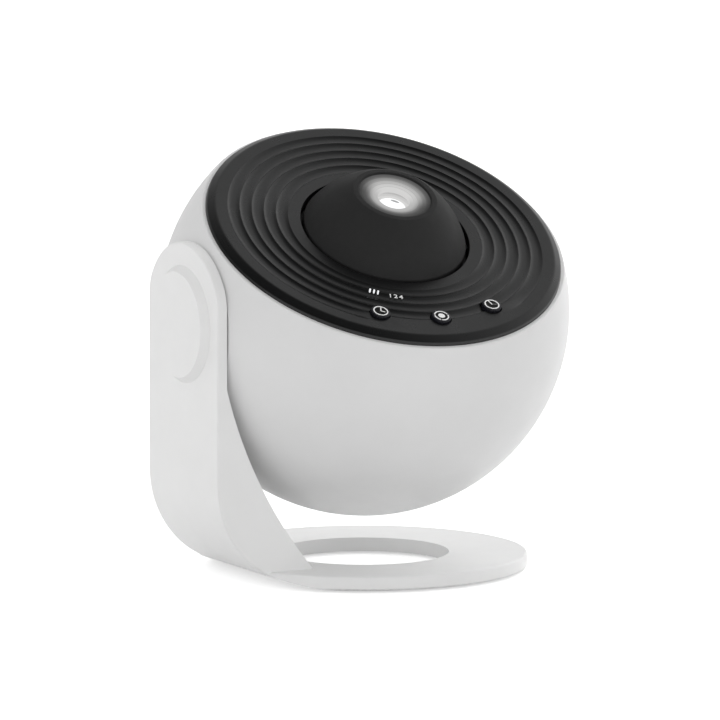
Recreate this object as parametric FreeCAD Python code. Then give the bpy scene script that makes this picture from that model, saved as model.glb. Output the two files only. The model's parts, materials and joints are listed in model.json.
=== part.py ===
import FreeCAD, Part
import math
import os
from FreeCAD import Vector

# Star projector: a ball on a one-armed ring stand. Millimetres, +Z up.
# The ball's parts are drawn in the lens frame: origin at the ball's centre, +Z out along the
# lens axis, -Y towards the keys. The stand's parts are drawn upright, with the same origin.
# Both frames share the X axis, which is the pivot axis; the arm is on the -X side.

# Ball
ball_r = 70.0
ball_wall = 2.4
lens_tilt = 28.5
seam_z = 30.3
shell_edge = 0.5
flat_depth = 5.2
flat_edge = 0.8

# Stand
arm_gap = 0.5
arm_plate = 3.6
arm_width = 51.2
arm_top_swell = 2.3
arm_shoulder_r = 14.0
arm_bend_r = 35.0
arm_edge = 0.7
kink_drop = 19.4
foot_step = 1.4
arm_bow = 4.1
sweep_gap = 0.8
ring_r = 55.7
ring_hole_r = 29.0
ring_x = 0.0
ball_lift = 13.0
ring_thick = 4.8
ring_edge = 0.8
pad_proud = 0.6
pad_recess = 1.0
pad_inset = 5.5
pad_half_angle = 125.0

# Inner cover of the arm
arm_wall = 2.4
cover_thick = 3.0
cover_top_drop = 26.0
cover_foot_rise = 3.5
cover_ledge = 2.5
cover_gap = 0.15
cover_screw_first = 0.42
cover_screw_second = 0.82

# Pivot
cap_base_r = 20.0
cap_top_r = 18.0
cap_proud = 2.6
cap_skin = 1.2
cap_hollow_r = 13.0
cap_rim = 1.5
cap_rim_depth = 1.2
bolt_r = 4.0
bolt_head_r = 7.0
bolt_head_thick = 1.8
bolt_recess_r = 8.0
bolt_recess_depth = 1.4
spring_thick = 0.5
spring_rise = 0.8
bush_wall = 1.95
shaft_clear = 0.05
friction_in_r = 6.5
friction_out_r = 15.0
hub_r = 10.0
hub_depth = 5.0
plate_r = 19.0
plate_thick = 2.0
nut_across = 11.0
nut_thick = 4.0
bolt_end = 0.5
pivot_screw_ring_r = 14.5
pivot_screw_count = 3

# Screws
screw_r = 1.1
screw_head_r = 2.0
screw_head_thick = 1.2
screw_clear = 0.25
screw_end_gap = 0.5
boss_r = 3.0

# Face panel
rim_step = 1.3
rim_wall = 0.5
rim_chamfer = 3.1
panel_thick = 2.8
land_width = 6.2
groove_edge = 0.9
groove_pitch = 4.24
groove_depth = 0.75
groove_count = 5
skirt_gap = 0.43
skirt_wall = 1.6
skirt_depth = 4.6
hook_count = 6
hook_reach = 1.3
hook_height = 2.0
hook_width = 8.0
seat_r = 29.4
seat_wall = 2.2
seat_lip = 1.6
seat_lip_reach = 4.9
post_ring_r = 40.0
post_r = 3.2
post_angle = 30.0
post_hole_depth = 8.0
band_half_angle = 34.0

# Keys
key_inset = 12.1
key_step = 24.9
key_turn = -1.6
key_r = 3.65
key_gap = 0.3
key_proud = 1.0
key_edge = 0.35
key_flange_r = 5.0
key_flange = 1.0
key_stem_r = 1.5
key_stem_gap = 0.4
key_travel = 0.6

# Indicator bars
bar_inset = 2.9
bar_angle = -30.4
bar_count = 3
bar_pitch = 1.4
bar_width = 0.6
bar_length = 2.1
bar_slot = 0.05
bar_led_gap = 0.2

# Control board
board_drop = 4.3
board_thick = 1.6
board_seat_gap = 2.9
board_rim_gap = 1.9
board_half_angle = 46.0
board_post_inset = 6.5
board_post_angle = 41.0
stud_hole_depth = 3.5
switch_size = 6.0
switch_height = 2.6
switch_hole_r = 1.9
switch_floor = 0.4
led_height = 0.6
chip_size = 8.0
chip_height = 1.5
small_chip_size = 4.0
small_chip_height = 1.1
small_chip_angle = 21.0
plug_width = 6.0
plug_depth = 4.0
plug_height = 3.0
led_plug_angle = 17.0
motor_plug_angle = 29.0
usb_plug_angle = -8.0
plug_inset = 4.0

# Chassis plate
plate_drop = 19.8
chassis_thick = 2.5
chassis_edge = 6.0
wire_hole_r = 3.0
wire_hole_ring_r = 27.0
boss_clear = 0.1

# Light engine
spigot_r = 14.0
spigot_height = 1.8
shoulder_rise = 0.7
shoulder_width = 3.0
housing_height = 15.0
housing_wall = 2.4
lip_drop = 2.2
neck_step = 1.0
neck_wall = 1.0
neck_height = 0.8
ear_out = 2.5
ear_r = 3.0
ear_thick = 4.0
ear_hole_depth = 3.0
foot_ear_thick = 2.0
condenser_edge = 3.0
condenser_dome = 3.0
condenser_ring_wall = 1.2
condenser_ring_thick = 1.0
lens_gap = 0.1
led_board_r = 13.0
led_board_thick = 1.6
led_chip_size = 5.0
led_chip_thick = 0.8
led_dome_r = 2.2
sink_edge = 2.5
sink_base = 4.0
sink_depth = 14.0
fin_thick = 1.4
fin_count = 9
wire_port_r = 1.6

# Film drive
tooth_module = 0.7
carrier_teeth = 60
pinion_teeth = 15
pressure_angle = 20.0
tooth_root = 1.25
tooth_tip = 0.9
tooth_backlash = 0.2
carrier_thick = 2.0
pinion_inset = 0.1
film_seat_step = 1.9
film_wall = 1.0
film_floor = 1.0
film_gap = 0.3
film_thick = 0.8
film_lip = 0.2
film_head_gap = 0.4
clip_width = 2.4
clip_thick = 0.8
carrier_clear = 0.05
retainer_reach = 1.4
retainer_thick = 0.7
retainer_gap = 0.1
retainer_room = 0.4
motor_angle = 90.0
motor_r = 7.5
motor_length = 11.3
motor_boss_r = 3.0
motor_shaft_r = 1.0
motor_shaft_top = 1.0
motor_screw_ring_r = 5.3
motor_hole_depth = 2.5
motor_boss_drop = 0.5

# Lens head
guide_clear = 0.05
guide_wall = 2.75
guide_floor = 2.0
guide_drop = 2.3
head_gap = 0.3
hood_moat = 1.3
hood_rise = 15.4
hood_rim_width = 1.9
hood_rest_gap = 0.1
hood_swell = 1.6
hood_shell = 2.0
hood_lip = 1.6
hood_skirt_gap = 0.3
hood_foot_gap = 1.0
hood_root_step = 0.6
hood_tube_fillet = 1.5
hood_lip_rise = 0.2
well_r = 12.6
well_drop = 0.7
well_steps = 5
well_step_fall = 0.05
well_step_drop = 0.21
well_mouth_r = 5.6
well_floor = 1.2
barrel_r = 9.3
barrel_wall = 1.2
nose_gap = 0.3
nose_wall = 0.5
nose_top_drop = 2.4
focus_tube_wall = 2.4
sleeve_wall = 2.0
sleeve_rise = 5.0
pin_r = 1.2
pin_rise = 13.0
pin_in = 0.4
pin_tip_gap = 0.3
focus_travel = 2.0
focus_turn = 60.0
slot_margin = 2.0
slot_samples = 16
barrel_rise = 3.5
front_lens_thick = 1.6
front_lens_dome = 0.6
lens_ledge = 0.6
lens_retainer_thick = 1.7
rear_lens_edge = 2.0
rear_lens_dome = 1.2
retainer_ring_wall = 1.1
seal_r = 0.6
seal_drop = 2.2
seal_groove_half = 0.75
ridge_rise = 2.6
ridge_half = 0.6
ridge_reach = 0.9
ridge_gap = 0.25

# USB inlet
usb_angle = -30.0
usb_width = 8.94
usb_height = 3.26
usb_corner = 1.2
usb_skin = 0.35
usb_depth = 7.3
usb_pocket_depth = 1.6
usb_set_back = 0.2
usb_clear = 0.18
usb_pocket_width = 15.0
usb_pocket_height = 8.0
usb_pad_depth = 7.5
usb_pad_rim = 1.8
usb_pocket_corner = 3.5
tongue_width = 6.7
tongue_thick = 0.7
tongue_short = 1.0
usb_board_width = 18.0
usb_board_length = 12.0
usb_board_thick = 1.2
usb_shelf_thick = 3.0
usb_shelf_start = 2.0
usb_screw_x = 6.5
usb_screw_in = 6.0

# Vents
vent_count = 5
vent_first = -50.0
vent_pitch = 6.0
vent_length = 30.0
vent_width = 2.0

# Wires
wire_r = 1.0
wire_room = 4.0
wire_run = 5.0
motor_wire_out = 24.0
usb_wire_drop = 25.0
led_pad_ring_r = 8.0

# Derived places
flat_x = ball_r - flat_depth
seam_r = math.sqrt(ball_r ** 2 - seam_z ** 2)
shell_in_r = math.sqrt((ball_r - ball_wall) ** 2 - seam_z ** 2)
arm_top_r = arm_width / 2 + arm_top_swell
arm_in_x = flat_x + arm_gap
ring_drop = ball_r + ball_lift
pad_inner_r = ring_hole_r + pad_inset
pad_outer_r = ring_r - pad_inset
arm_out_x = arm_in_x + arm_plate
foot_x = arm_out_x - arm_bend_r - foot_step
floor_drop = ring_drop + ring_thick
ball_height = floor_drop + pad_proud
usb_floor_r = ball_r - usb_pocket_depth
usb_pad_r = ball_r - usb_pad_depth
origin_shift = (arm_out_x + cap_proud - ball_r) / 2
panel_top_z = seam_z + panel_thick
rim_r = seam_r - rim_step
land_r = rim_r - land_width
groove_first_r = land_r - groove_edge
band_inner_r = groove_first_r - groove_pitch
skirt_r = shell_in_r - skirt_gap
key_ring_r = rim_r - key_inset
board_top_z = seam_z - board_drop
board_inner_r = seat_r + seat_wall + board_seat_gap
board_outer_r = skirt_r - skirt_wall - board_rim_gap
board_post_ring_r = board_inner_r + board_post_inset
bar_ring_r = board_inner_r + bar_inset
plug_ring_r = board_inner_r + plug_inset
plate_top_z = seam_z - plate_drop
chassis_r = post_ring_r + chassis_edge
shoulder_z = plate_top_z + shoulder_rise
lip_z = shoulder_z - lip_drop
housing_foot_z = shoulder_z - housing_height
spigot_top_z = shoulder_z + spigot_height
housing_r = spigot_r + shoulder_width
housing_bore_r = housing_r - housing_wall
neck_r = spigot_r - neck_step
lip_r = neck_r - neck_wall
retainer_r = spigot_r + retainer_reach
ear_ring_r = housing_r + ear_out
sink_r = ear_ring_r + sink_edge
chassis_foot_z = plate_top_z - chassis_thick
gear_top_z = shoulder_z + carrier_thick
film_floor_z = gear_top_z + film_floor
carrier_pitch_r = tooth_module * carrier_teeth / 2
pinion_pitch_r = tooth_module * pinion_teeth / 2
film_seat_r = carrier_pitch_r - film_seat_step
film_r = film_seat_r - film_gap
film_cup_top_z = film_floor_z + film_thick + clip_thick + film_lip
seat_floor_z = film_cup_top_z + film_head_gap + seat_lip
seat_lip_r = seat_r - seat_lip_reach
guide_top_z = seam_z - guide_drop
hood_top_z = panel_top_z + hood_rise
hood_base_r = seat_r - hood_moat
hood_rim_r = well_r + hood_rim_width
motor_ring_r = carrier_pitch_r + pinion_pitch_r
focus_tube_in_r = barrel_r + head_gap
focus_tube_out_r = focus_tube_in_r + focus_tube_wall
sleeve_in_r = focus_tube_out_r + head_gap
sleeve_out_r = sleeve_in_r + sleeve_wall
guide_r = seat_r - guide_clear
guide_in_r = guide_r - guide_wall
guide_floor_z = seat_floor_z + guide_floor
pin_z = seat_floor_z + pin_rise
sleeve_top_z = pin_z + sleeve_rise
barrel_foot_z = seat_floor_z + barrel_rise
rear_lens_z = barrel_foot_z + lens_retainer_thick
seal_z = guide_top_z - seal_drop
ridge_z = guide_floor_z + ridge_rise
well_pitch = (well_r - well_mouth_r) / well_steps
well_floor_z = hood_top_z - well_drop - well_steps * (well_step_fall + well_step_drop)
floor_under_z = well_floor_z - well_floor
barrel_top_z = floor_under_z - focus_travel - head_gap
nose_r = well_mouth_r - nose_gap
nose_top_z = well_floor_z - nose_top_drop
board_foot_z = board_top_z - board_thick

axis_z = Vector(0, 0, 1)
axis_x = Vector(1, 0, 0)
centre = Vector(0, 0, 0)


# Basic forms

def disc(radius, low, high, x=0.0, y=0.0):
    return Part.makeCylinder(radius, high - low, Vector(x, y, low))


def hole(radius, low, high, x=0.0, y=0.0):
    # A round cutting tool that runs past both faces.
    return disc(radius, low - 1, high + 1, x, y)


def holes_at(spots, radius, low, high):
    return [hole(radius, low, high, x, y) for x, y in spots]


def tube(outer, inner, low, high, x=0.0, y=0.0):
    return disc(outer, low, high, x, y).cut(hole(inner, low, high, x, y))


def block(x0, x1, y0, y1, z0, z1):
    return Part.makeBox(x1 - x0, y1 - y0, z1 - z0, Vector(x0, y0, z0))


def slab(width, depth, low, high, x=0.0, y=0.0):
    # A block centred on a point, between two heights.
    return block(x - width / 2, x + width / 2, y - depth / 2, y + depth / 2, low, high)


def fuse_all(shapes):
    result = shapes[0]
    for shape in shapes[1:]:
        result = result.fuse(shape)
    return result.removeSplitter()


def cut_all(shape, tools):
    for tool in tools:
        shape = shape.cut(tool)
    return shape


def spun(edges):
    # Turns a closed outline in the XZ plane about Z.
    return Part.Face(Part.Wire(edges)).revolve(centre, axis_z, 360)


def corner_edges(points):
    # Straight edges through (radius, height) points, closed.
    corners = [Vector(p[0], 0, p[1]) for p in points]
    pairs = zip(corners, corners[1:] + corners[:1])
    return [Part.LineSegment(a, b).toShape() for a, b in pairs]


def profile(points):
    return spun(corner_edges(points))


def turned(shape, angle, axis=axis_z):
    copy = shape.copy()
    copy.rotate(centre, axis, angle)
    return copy


def around(shape, count, start=0.0):
    return [turned(shape, start + 360.0 * i / count) for i in range(count)]


def polar(ring, angle):
    # Angle in degrees from the front (-Y), positive towards +X.
    return ring * math.sin(math.radians(angle)), -ring * math.cos(math.radians(angle))


def along_x(shape, x):
    # Lays a shape drawn along +Z down along +X, starting at x.
    copy = turned(shape, 90, Vector(0, 1, 0))
    copy.translate(Vector(x, 0, 0))
    return copy


def rounded_bar(width, height, corner, y0, y1):
    # A bar along Y with a rounded rectangular section centred on the Y axis.
    bar = block(-width / 2, width / 2, y0, y1, -height / 2, height / 2)
    edges = [e for e in bar.Edges if abs(e.BoundBox.YLength - (y1 - y0)) < 1e-6]
    return bar.makeFillet(corner, edges)


def screw(x, y, seat_z, length, up=False):
    # Pan head on the seat, shank pointing down, or up when turned over.
    step = 1 if up else -1
    low, high = sorted((seat_z, seat_z + step * length))
    head_low, head_high = sorted((seat_z, seat_z - step * screw_head_thick))
    return disc(screw_r, low, high, x, y).fuse(disc(screw_head_r, head_low, head_high, x, y))


def flush_screw(x, y, top_z, length):
    cone = Part.makeCone(screw_r, screw_head_r, screw_head_thick, Vector(x, y, top_z - screw_head_thick))
    return disc(screw_r, top_z - length, top_z, x, y).fuse(cone)


def flush_hole(x, y, top_z, depth):
    low = top_z - screw_head_thick
    cone = Part.makeCone(screw_r, screw_head_r, screw_head_thick, Vector(x, y, low))
    return disc(screw_r, top_z - depth, top_z, x, y).fuse(cone)


def wire_path(points):
    # Straight runs joined by tangent arcs, each as large as its two runs allow.
    stops = [Vector(*p) for p in points]
    edges = []
    here = stops[0]
    for before, corner, after in zip(stops, stops[1:], stops[2:]):
        way_in = (corner - before).normalize()
        way_out = (after - corner).normalize()
        reach = 0.45 * min((corner - before).Length, (after - corner).Length)
        start = corner - way_in * reach
        end = corner + way_out * reach
        turn = way_in.getAngle(way_out)
        radius = reach / math.tan(turn / 2)
        inward = (way_out - way_in).normalize()
        middle = corner + inward * (radius / math.cos(turn / 2) - radius)
        edges.append(Part.LineSegment(here, start).toShape())
        edges.append(Part.Arc(start, middle, end).toShape())
        here = end
    edges.append(Part.LineSegment(here, stops[-1]).toShape())
    return Part.Wire(edges)


def wire(points):
    path = wire_path(points)
    heading = Vector(*points[1]) - Vector(*points[0])
    section = Part.Wire(Part.makeCircle(wire_r, Vector(*points[0]), heading))
    return path.makePipeShell([section], True, False)


# Stand, drawn upright

def bend_edges(wall):
    # Back of the arm, its bend and the underside, set in by a wall.
    x_back = -arm_out_x + wall
    x_foot = -arm_out_x + arm_bend_r
    z_bend = -floor_drop + arm_bend_r
    radius = arm_bend_r - wall
    lean = radius * math.sqrt(0.5)
    top = Vector(x_back, 0, arm_top_r)
    start = Vector(x_back, 0, z_bend)
    middle = Vector(x_foot - lean, 0, z_bend - lean)
    end = Vector(x_foot, 0, z_bend - radius)
    return [Part.LineSegment(top, start).toShape(), Part.Arc(start, middle, end).toShape()], top, end


def bowed_face():
    # Centre and radius of the arm's bowed inner face, and its two ends.
    high = Vector(-arm_in_x, 0, -kink_drop)
    low = Vector(-foot_x, 0, -ring_drop)
    chord = low - high
    radius = (chord.Length ** 2 / 4 + arm_bow ** 2) / (2 * arm_bow)
    side = Vector(-chord.z, 0, chord.x).normalize()
    hub = (high + low) * 0.5 + side * (radius - arm_bow)
    return hub, radius, high, low


def extruded(edges, half_width):
    face = Part.Face(Part.Wire(edges))
    solid = face.extrude(Vector(0, 2 * half_width, 0))
    solid.translate(Vector(0, -half_width, 0))
    return solid


def arm_body():
    edges, top, end = bend_edges(0.0)
    hub, radius, high, low = bowed_face()
    middle = hub + ((high + low) * 0.5 - hub).normalize() * radius
    foot = Vector(low.x, 0, -floor_drop)
    head = Vector(high.x, 0, top.z)
    edges.append(Part.LineSegment(end, foot).toShape())
    edges.append(Part.LineSegment(foot, low).toShape())
    edges.append(Part.Arc(low, middle, high).toShape())
    edges.append(Part.LineSegment(high, head).toShape())
    edges.append(Part.LineSegment(head, top).toShape())
    return extruded(edges, arm_width / 2)


def arm_outline():
    # Round top about the pivot, straight sides, blended shoulders.
    x0, depth = -arm_out_x - 1, arm_out_x
    head = along_x(Part.makeCylinder(arm_top_r, depth), x0)
    strip = block(x0, x0 + depth, -arm_width / 2, arm_width / 2, 0, arm_top_r + 1)
    legs = block(x0, x0 + depth, -arm_width / 2, arm_width / 2, -floor_drop - 1, 0)
    outline = head.common(strip).fuse(legs).removeSplitter()
    shoulder_z = math.sqrt(arm_top_r ** 2 - arm_width ** 2 / 4)
    corners = [e for e in outline.Edges if e.BoundBox.XLength > depth / 2
               and abs(e.CenterOfMass.z - shoulder_z) < 0.1]
    return outline.makeFillet(arm_shoulder_r, corners)


def bend_envelope(wall, half_width):
    edges, top, end = bend_edges(wall)
    far = Vector(ring_x + ring_r + 5, 0, end.z)
    far_top = Vector(far.x, 0, top.z)
    edges.append(Part.LineSegment(end, far).toShape())
    edges.append(Part.LineSegment(far, far_top).toShape())
    edges.append(Part.LineSegment(far_top, top).toShape())
    return extruded(edges, half_width)


def ring_body():
    ring = disc(ring_r, -floor_drop, -ring_drop, ring_x)
    rims = [e for e in ring.Edges if abs(e.Length - 2 * math.pi * ring_r) < 0.01]
    ring = ring.makeFillet(ring_edge, rims)
    return ring.common(bend_envelope(0.0, ring_r + 5))


def pad_shape(gap, low, high):
    # A C-shaped ring, open towards the arm.
    ring = tube(pad_outer_r + gap, pad_inner_r - gap, low, high, ring_x)
    reach = 2 * pad_outer_r
    spread = math.radians(pad_half_angle) + gap / pad_outer_r
    side = Vector(ring_x + reach * math.cos(spread), reach * math.sin(spread), low)
    other = Vector(side.x, -side.y, low)
    wedge = Part.Face(Part.makePolygon([Vector(ring_x, 0, low), side, other, Vector(ring_x, 0, low)]))
    return ring.cut(wedge.extrude(Vector(0, 0, high - low)))


def cover_sector(inner, outer, grow, half_width):
    # A curved slab behind the arm's bowed face.
    hub, radius, high, low = bowed_face()
    first = math.asin((-cover_top_drop + grow - hub.z) / radius)
    last = math.asin((-ring_drop + cover_foot_rise - grow - hub.z) / radius)

    def at(reach, angle):
        return hub + Vector(-math.cos(angle), 0, math.sin(angle)) * reach

    middle = (first + last) / 2
    edges = [Part.Arc(at(inner, first), at(inner, middle), at(inner, last)).toShape()]
    edges.append(Part.LineSegment(at(inner, last), at(outer, last)).toShape())
    edges.append(Part.Arc(at(outer, last), at(outer, middle), at(outer, first)).toShape())
    edges.append(Part.LineSegment(at(outer, first), at(inner, first)).toShape())
    return extruded(edges, half_width)


def cover_screw_places():
    # Seat point and inward direction of each screw of the inner cover.
    hub, radius, high, low = bowed_face()
    for share in (cover_screw_first, cover_screw_second):
        height = high.z + (low.z - high.z) * share
        angle = math.asin((height - hub.z) / radius)
        outward = Vector(-math.cos(angle), 0, math.sin(angle))
        yield hub + outward * radius, outward


def placed_on(shape, seat, direction):
    # Moves a shape drawn down -Z from the origin onto a seat, pointing in a direction.
    copy = shape.copy()
    copy.Placement = FreeCAD.Placement(seat, FreeCAD.Rotation(Vector(0, 0, -1), direction))
    return copy


def swept_ball():
    # The room that the ball sweeps as it turns.
    ball = Part.makeSphere(ball_r + sweep_gap)
    return ball.common(block(-arm_in_x, ball_r + 5, -ball_r - 5, ball_r + 5, -ball_r - 5, ball_r + 5))


def cover_half_width():
    return arm_width / 2 - arm_wall


def arm_core():
    hub, radius, high, low = bowed_face()
    half = cover_half_width()
    recess = cover_sector(radius - 2, radius + cover_thick, cover_gap, half + cover_gap)
    far = radius + 3 * arm_bend_r
    hollow = cover_sector(radius + cover_thick - 0.1, far, -cover_ledge, half - cover_ledge)
    hollow = hollow.common(bend_envelope(arm_wall, arm_width))
    depth = 2 * arm_bend_r
    stalk = disc(boss_r, -depth, -cover_thick).cut(disc(screw_r, -depth, 0))
    stalks = [placed_on(stalk, seat, way) for seat, way in cover_screw_places()]
    return recess.fuse(cut_all(hollow, stalks))


def stand_frame():
    arm = arm_body().common(arm_outline())
    sides = [e for e in arm.Edges if is_arm_rim(e)]
    arm = arm.makeFillet(arm_edge, sides)
    body = arm.fuse(ring_body()).removeSplitter()
    body = body.cut(hole(ring_hole_r, -floor_drop, -ring_drop, ring_x))
    body = body.cut(arm_core())
    body = body.cut(swept_ball())
    body = body.cut(pad_shape(cover_gap, -floor_drop, -floor_drop + pad_recess))
    recess = along_x(Part.makeCylinder(bolt_recess_r, bolt_recess_depth + 1), -arm_out_x - 1)
    bore = along_x(Part.makeCylinder(bush_out_r(), arm_plate + 2), -arm_out_x - 1)
    groove = Part.makeCylinder(cap_hollow_r + cap_rim, cap_rim_depth)
    groove = groove.cut(Part.makeCylinder(cap_hollow_r, cap_rim_depth))
    return cut_all(body, [recess, bore, along_x(groove, -arm_out_x)])


def is_arm_rim(edge):
    # The long outer edges of the arm's back, from the floor bend up over the top.
    box = edge.BoundBox
    on_back = abs(box.XMin + arm_out_x) < 1e-6 and abs(box.XMax + arm_out_x) < 1e-6
    at_bend = abs(box.XMin + arm_out_x) < 1e-3 and box.YLength < 1e-3 and box.ZMax < -kink_drop
    return (on_back and box.ZLength > 1.0) or (at_bend and box.XLength > 1.0)


def arm_inner_cover():
    hub, radius, high, low = bowed_face()
    cover = cover_sector(radius, radius + cover_thick, 0.0, cover_half_width())
    cover = cover.cut(swept_ball())
    hole = flush_hole(0, 0, 0, cover_thick + 1)
    return cut_all(cover, [placed_on(hole, seat, way) for seat, way in cover_screw_places()])


def cover_screws():
    one = flush_screw(0, 0, 0, cover_thick + 6)
    return Part.makeCompound([placed_on(one, seat, way) for seat, way in cover_screw_places()])


def base_pad():
    return pad_shape(0.0, -floor_drop - pad_proud, -floor_drop + pad_recess)


# Pivot, drawn along X

def bush_out_r():
    return bolt_r + shaft_clear + bush_wall


def pivot_cap():
    rise = cap_proud
    body = Part.makeCone(cap_top_r, cap_base_r, rise)
    body = body.cut(Part.makeCylinder(cap_hollow_r, rise, Vector(0, 0, cap_skin)))
    rim = Part.makeCylinder(cap_hollow_r + cap_rim, cap_rim_depth, Vector(0, 0, rise))
    rim = rim.cut(Part.makeCylinder(cap_hollow_r, cap_rim_depth, Vector(0, 0, rise)))
    return along_x(body.fuse(rim).removeSplitter(), -arm_out_x - rise)


def recess_floor():
    return -arm_out_x + bolt_recess_depth


def spring_washer():
    low, high = bolt_r + shaft_clear, bolt_head_r - 0.6
    thick, rise = spring_thick, spring_rise - spring_thick
    ring = profile([(high, rise), (high, rise + thick), (low, thick), (low, 0)])
    return along_x(ring, recess_floor() - spring_rise)


def pivot_bolt():
    head_x = recess_floor() - spring_rise - bolt_head_thick
    end_x = -flat_x + ball_wall + hub_depth + plate_thick + nut_thick + bolt_end
    head = along_x(Part.makeCylinder(bolt_head_r, bolt_head_thick), head_x)
    shank = along_x(Part.makeCylinder(bolt_r, end_x - head_x), head_x)
    socket = along_x(hexagon(4.0, bolt_head_thick - 0.6), head_x)
    return head.fuse(shank).removeSplitter().cut(socket)


def hexagon(across, height):
    reach = across / math.sqrt(3)
    corners = [Vector(reach * math.cos(math.radians(60 * i)), reach * math.sin(math.radians(60 * i)), 0)
               for i in range(7)]
    return Part.Face(Part.makePolygon(corners)).extrude(Vector(0, 0, height))


def pivot_bush():
    ring = tube(bush_out_r(), bolt_r + shaft_clear, 0, arm_plate - bolt_recess_depth)
    return along_x(ring, recess_floor())


def friction_washer():
    return along_x(tube(friction_out_r, friction_in_r, 0, arm_gap), -arm_in_x)


def plate_x():
    return -flat_x + ball_wall + hub_depth


def pivot_screw_spots():
    # Centres of the screws on the pivot plate, in the YZ plane.
    return [polar(pivot_screw_ring_r, 360.0 * i / pivot_screw_count) for i in range(pivot_screw_count)]


def pivot_plate():
    plate = tube(plate_r, bolt_r + shaft_clear, 0, plate_thick)
    holes = holes_at(pivot_screw_spots(), screw_r + screw_clear, 0, plate_thick)
    return along_x(cut_all(plate, holes), plate_x())


def pivot_screws():
    length = plate_thick + hub_depth - 1
    screws = [screw(y, z, plate_thick, length) for y, z in pivot_screw_spots()]
    return Part.makeCompound([along_x(one, plate_x()) for one in screws])


def pivot_nut():
    nut = hexagon(nut_across, nut_thick).cut(Part.makeCylinder(bolt_r, nut_thick))
    return along_x(nut, plate_x() + plate_thick)


# Ball shell, drawn in the lens frame

def cut_ball(radius, left, top):
    room = block(-left, radius + 1, -radius - 1, radius + 1, -radius - 1, top)
    return Part.makeSphere(radius).common(room)


def rear_facing(shape, angle):
    # Turns a shape drawn out along +Y up or down about the pivot axis.
    return turned(shape, angle, axis_x)


def hub_bosses():
    x0 = -flat_x + ball_wall
    bosses = [disc(hub_r, -0.5, hub_depth)]
    bosses += [disc(boss_r, -0.5, hub_depth, y, z) for y, z in pivot_screw_spots()]
    holes = [disc(screw_r, 1, hub_depth + 1, y, z) for y, z in pivot_screw_spots()]
    return along_x(cut_all(fuse_all(bosses), holes), x0)


def usb_mouth(low, high):
    width, height = usb_width + 2 * usb_clear, usb_height + 2 * usb_clear
    return rounded_bar(width, height, usb_corner + usb_clear, low, high)


def usb_board_top():
    return -usb_height / 2


def usb_seat():
    # Thick pad behind the inlet and the shelf that carries its board.
    half_height = usb_pocket_height / 2 + usb_pad_rim
    length = ball_r - usb_pad_r
    middle = (ball_r + usb_pad_r) / 2
    pad = slab(usb_pocket_width + 2 * usb_pad_rim, length, -half_height, half_height, 0, middle)
    shelf_top = usb_board_top() - usb_board_thick
    start = usb_pad_r - usb_board_length + usb_shelf_start
    reach = ball_r - start
    shelf = slab(usb_board_width, reach, shelf_top - usb_shelf_thick, shelf_top, 0, start + reach / 2)
    return pad.fuse(shelf).common(Part.makeSphere(ball_r - ball_wall / 2))


def usb_screw_spots():
    y = usb_pad_r - usb_screw_in
    return [(-usb_screw_x, y), (usb_screw_x, y)]


def vent_slot(index):
    slot = rounded_bar(vent_length, vent_width, vent_width / 2 - 0.05, ball_r - 3 * ball_wall, ball_r + 5)
    return rear_facing(slot, vent_first - index * vent_pitch)


def ball_shell():
    outer = cut_ball(ball_r, flat_x, seam_z)
    rim_len = 2 * math.pi * math.sqrt(ball_r ** 2 - seam_z ** 2)
    flat_len = 2 * math.pi * math.sqrt(ball_r ** 2 - flat_x ** 2)
    outer = outer.makeFillet(shell_edge, [e for e in outer.Edges if abs(e.Length - rim_len) < 0.01])
    outer = outer.makeFillet(flat_edge, [e for e in outer.Edges if abs(e.Length - flat_len) < 0.01])
    inner = cut_ball(ball_r - ball_wall, flat_x - ball_wall, seam_z + 1)
    shell = outer.cut(inner).fuse(hub_bosses()).fuse(rear_facing(usb_seat(), usb_angle))
    shell = shell.removeSplitter()
    shell = shell.cut(along_x(Part.makeCylinder(bolt_r + shaft_clear, ball_r), -ball_r))
    pocket = rounded_bar(usb_pocket_width, usb_pocket_height, usb_pocket_corner, usb_floor_r, ball_r + 5)
    shelf_top = usb_board_top() - usb_board_thick
    tools = [pocket, usb_mouth(usb_pad_r - 1, ball_r + 1)]
    tools += holes_at(usb_screw_spots(), screw_r, shelf_top - usb_shelf_thick, shelf_top)
    shell = cut_all(shell, [rear_facing(tool, usb_angle) for tool in tools])
    return cut_all(shell, [vent_slot(i) for i in range(vent_count)])


def usb_socket():
    front = usb_floor_r - usb_set_back
    back = front - usb_depth
    can = rounded_bar(usb_width, usb_height, usb_corner, back, front)
    inside = rounded_bar(usb_width - 2 * usb_skin, usb_height - 2 * usb_skin, usb_corner - usb_skin,
                         back + usb_skin, front + 1)
    return rear_facing(can.cut(inside), usb_angle)


def usb_tongue():
    front = usb_floor_r - usb_set_back - tongue_short
    back = usb_floor_r - usb_set_back - usb_depth + usb_skin
    tongue = block(-tongue_width / 2, tongue_width / 2, back, front, -tongue_thick / 2, tongue_thick / 2)
    return rear_facing(tongue, usb_angle)


def usb_board():
    top = usb_board_top()
    low = top - usb_board_thick
    board = slab(usb_board_width, usb_board_length, low, top, 0, usb_pad_r - usb_board_length / 2)
    holes = holes_at(usb_screw_spots(), screw_r + screw_clear, low, top)
    return rear_facing(cut_all(board, holes), usb_angle)


def usb_screws():
    top = usb_board_top()
    length = usb_board_thick + usb_shelf_thick - 0.5
    return Part.makeCompound([rear_facing(screw(x, y, top, length), usb_angle) for x, y in usb_screw_spots()])


# Face panel

def groove_edges():
    # From the flat rim land inwards: scooped rings between sharp crests.
    edges = []
    outer = groove_first_r
    for _ in range(groove_count):
        inner = outer - groove_pitch
        start = Vector(outer, 0, panel_top_z)
        middle = Vector((outer + inner) / 2, 0, panel_top_z - groove_depth)
        end = Vector(inner, 0, panel_top_z)
        edges.append(Part.Arc(start, middle, end).toShape())
        outer = inner
    return edges, outer


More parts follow.
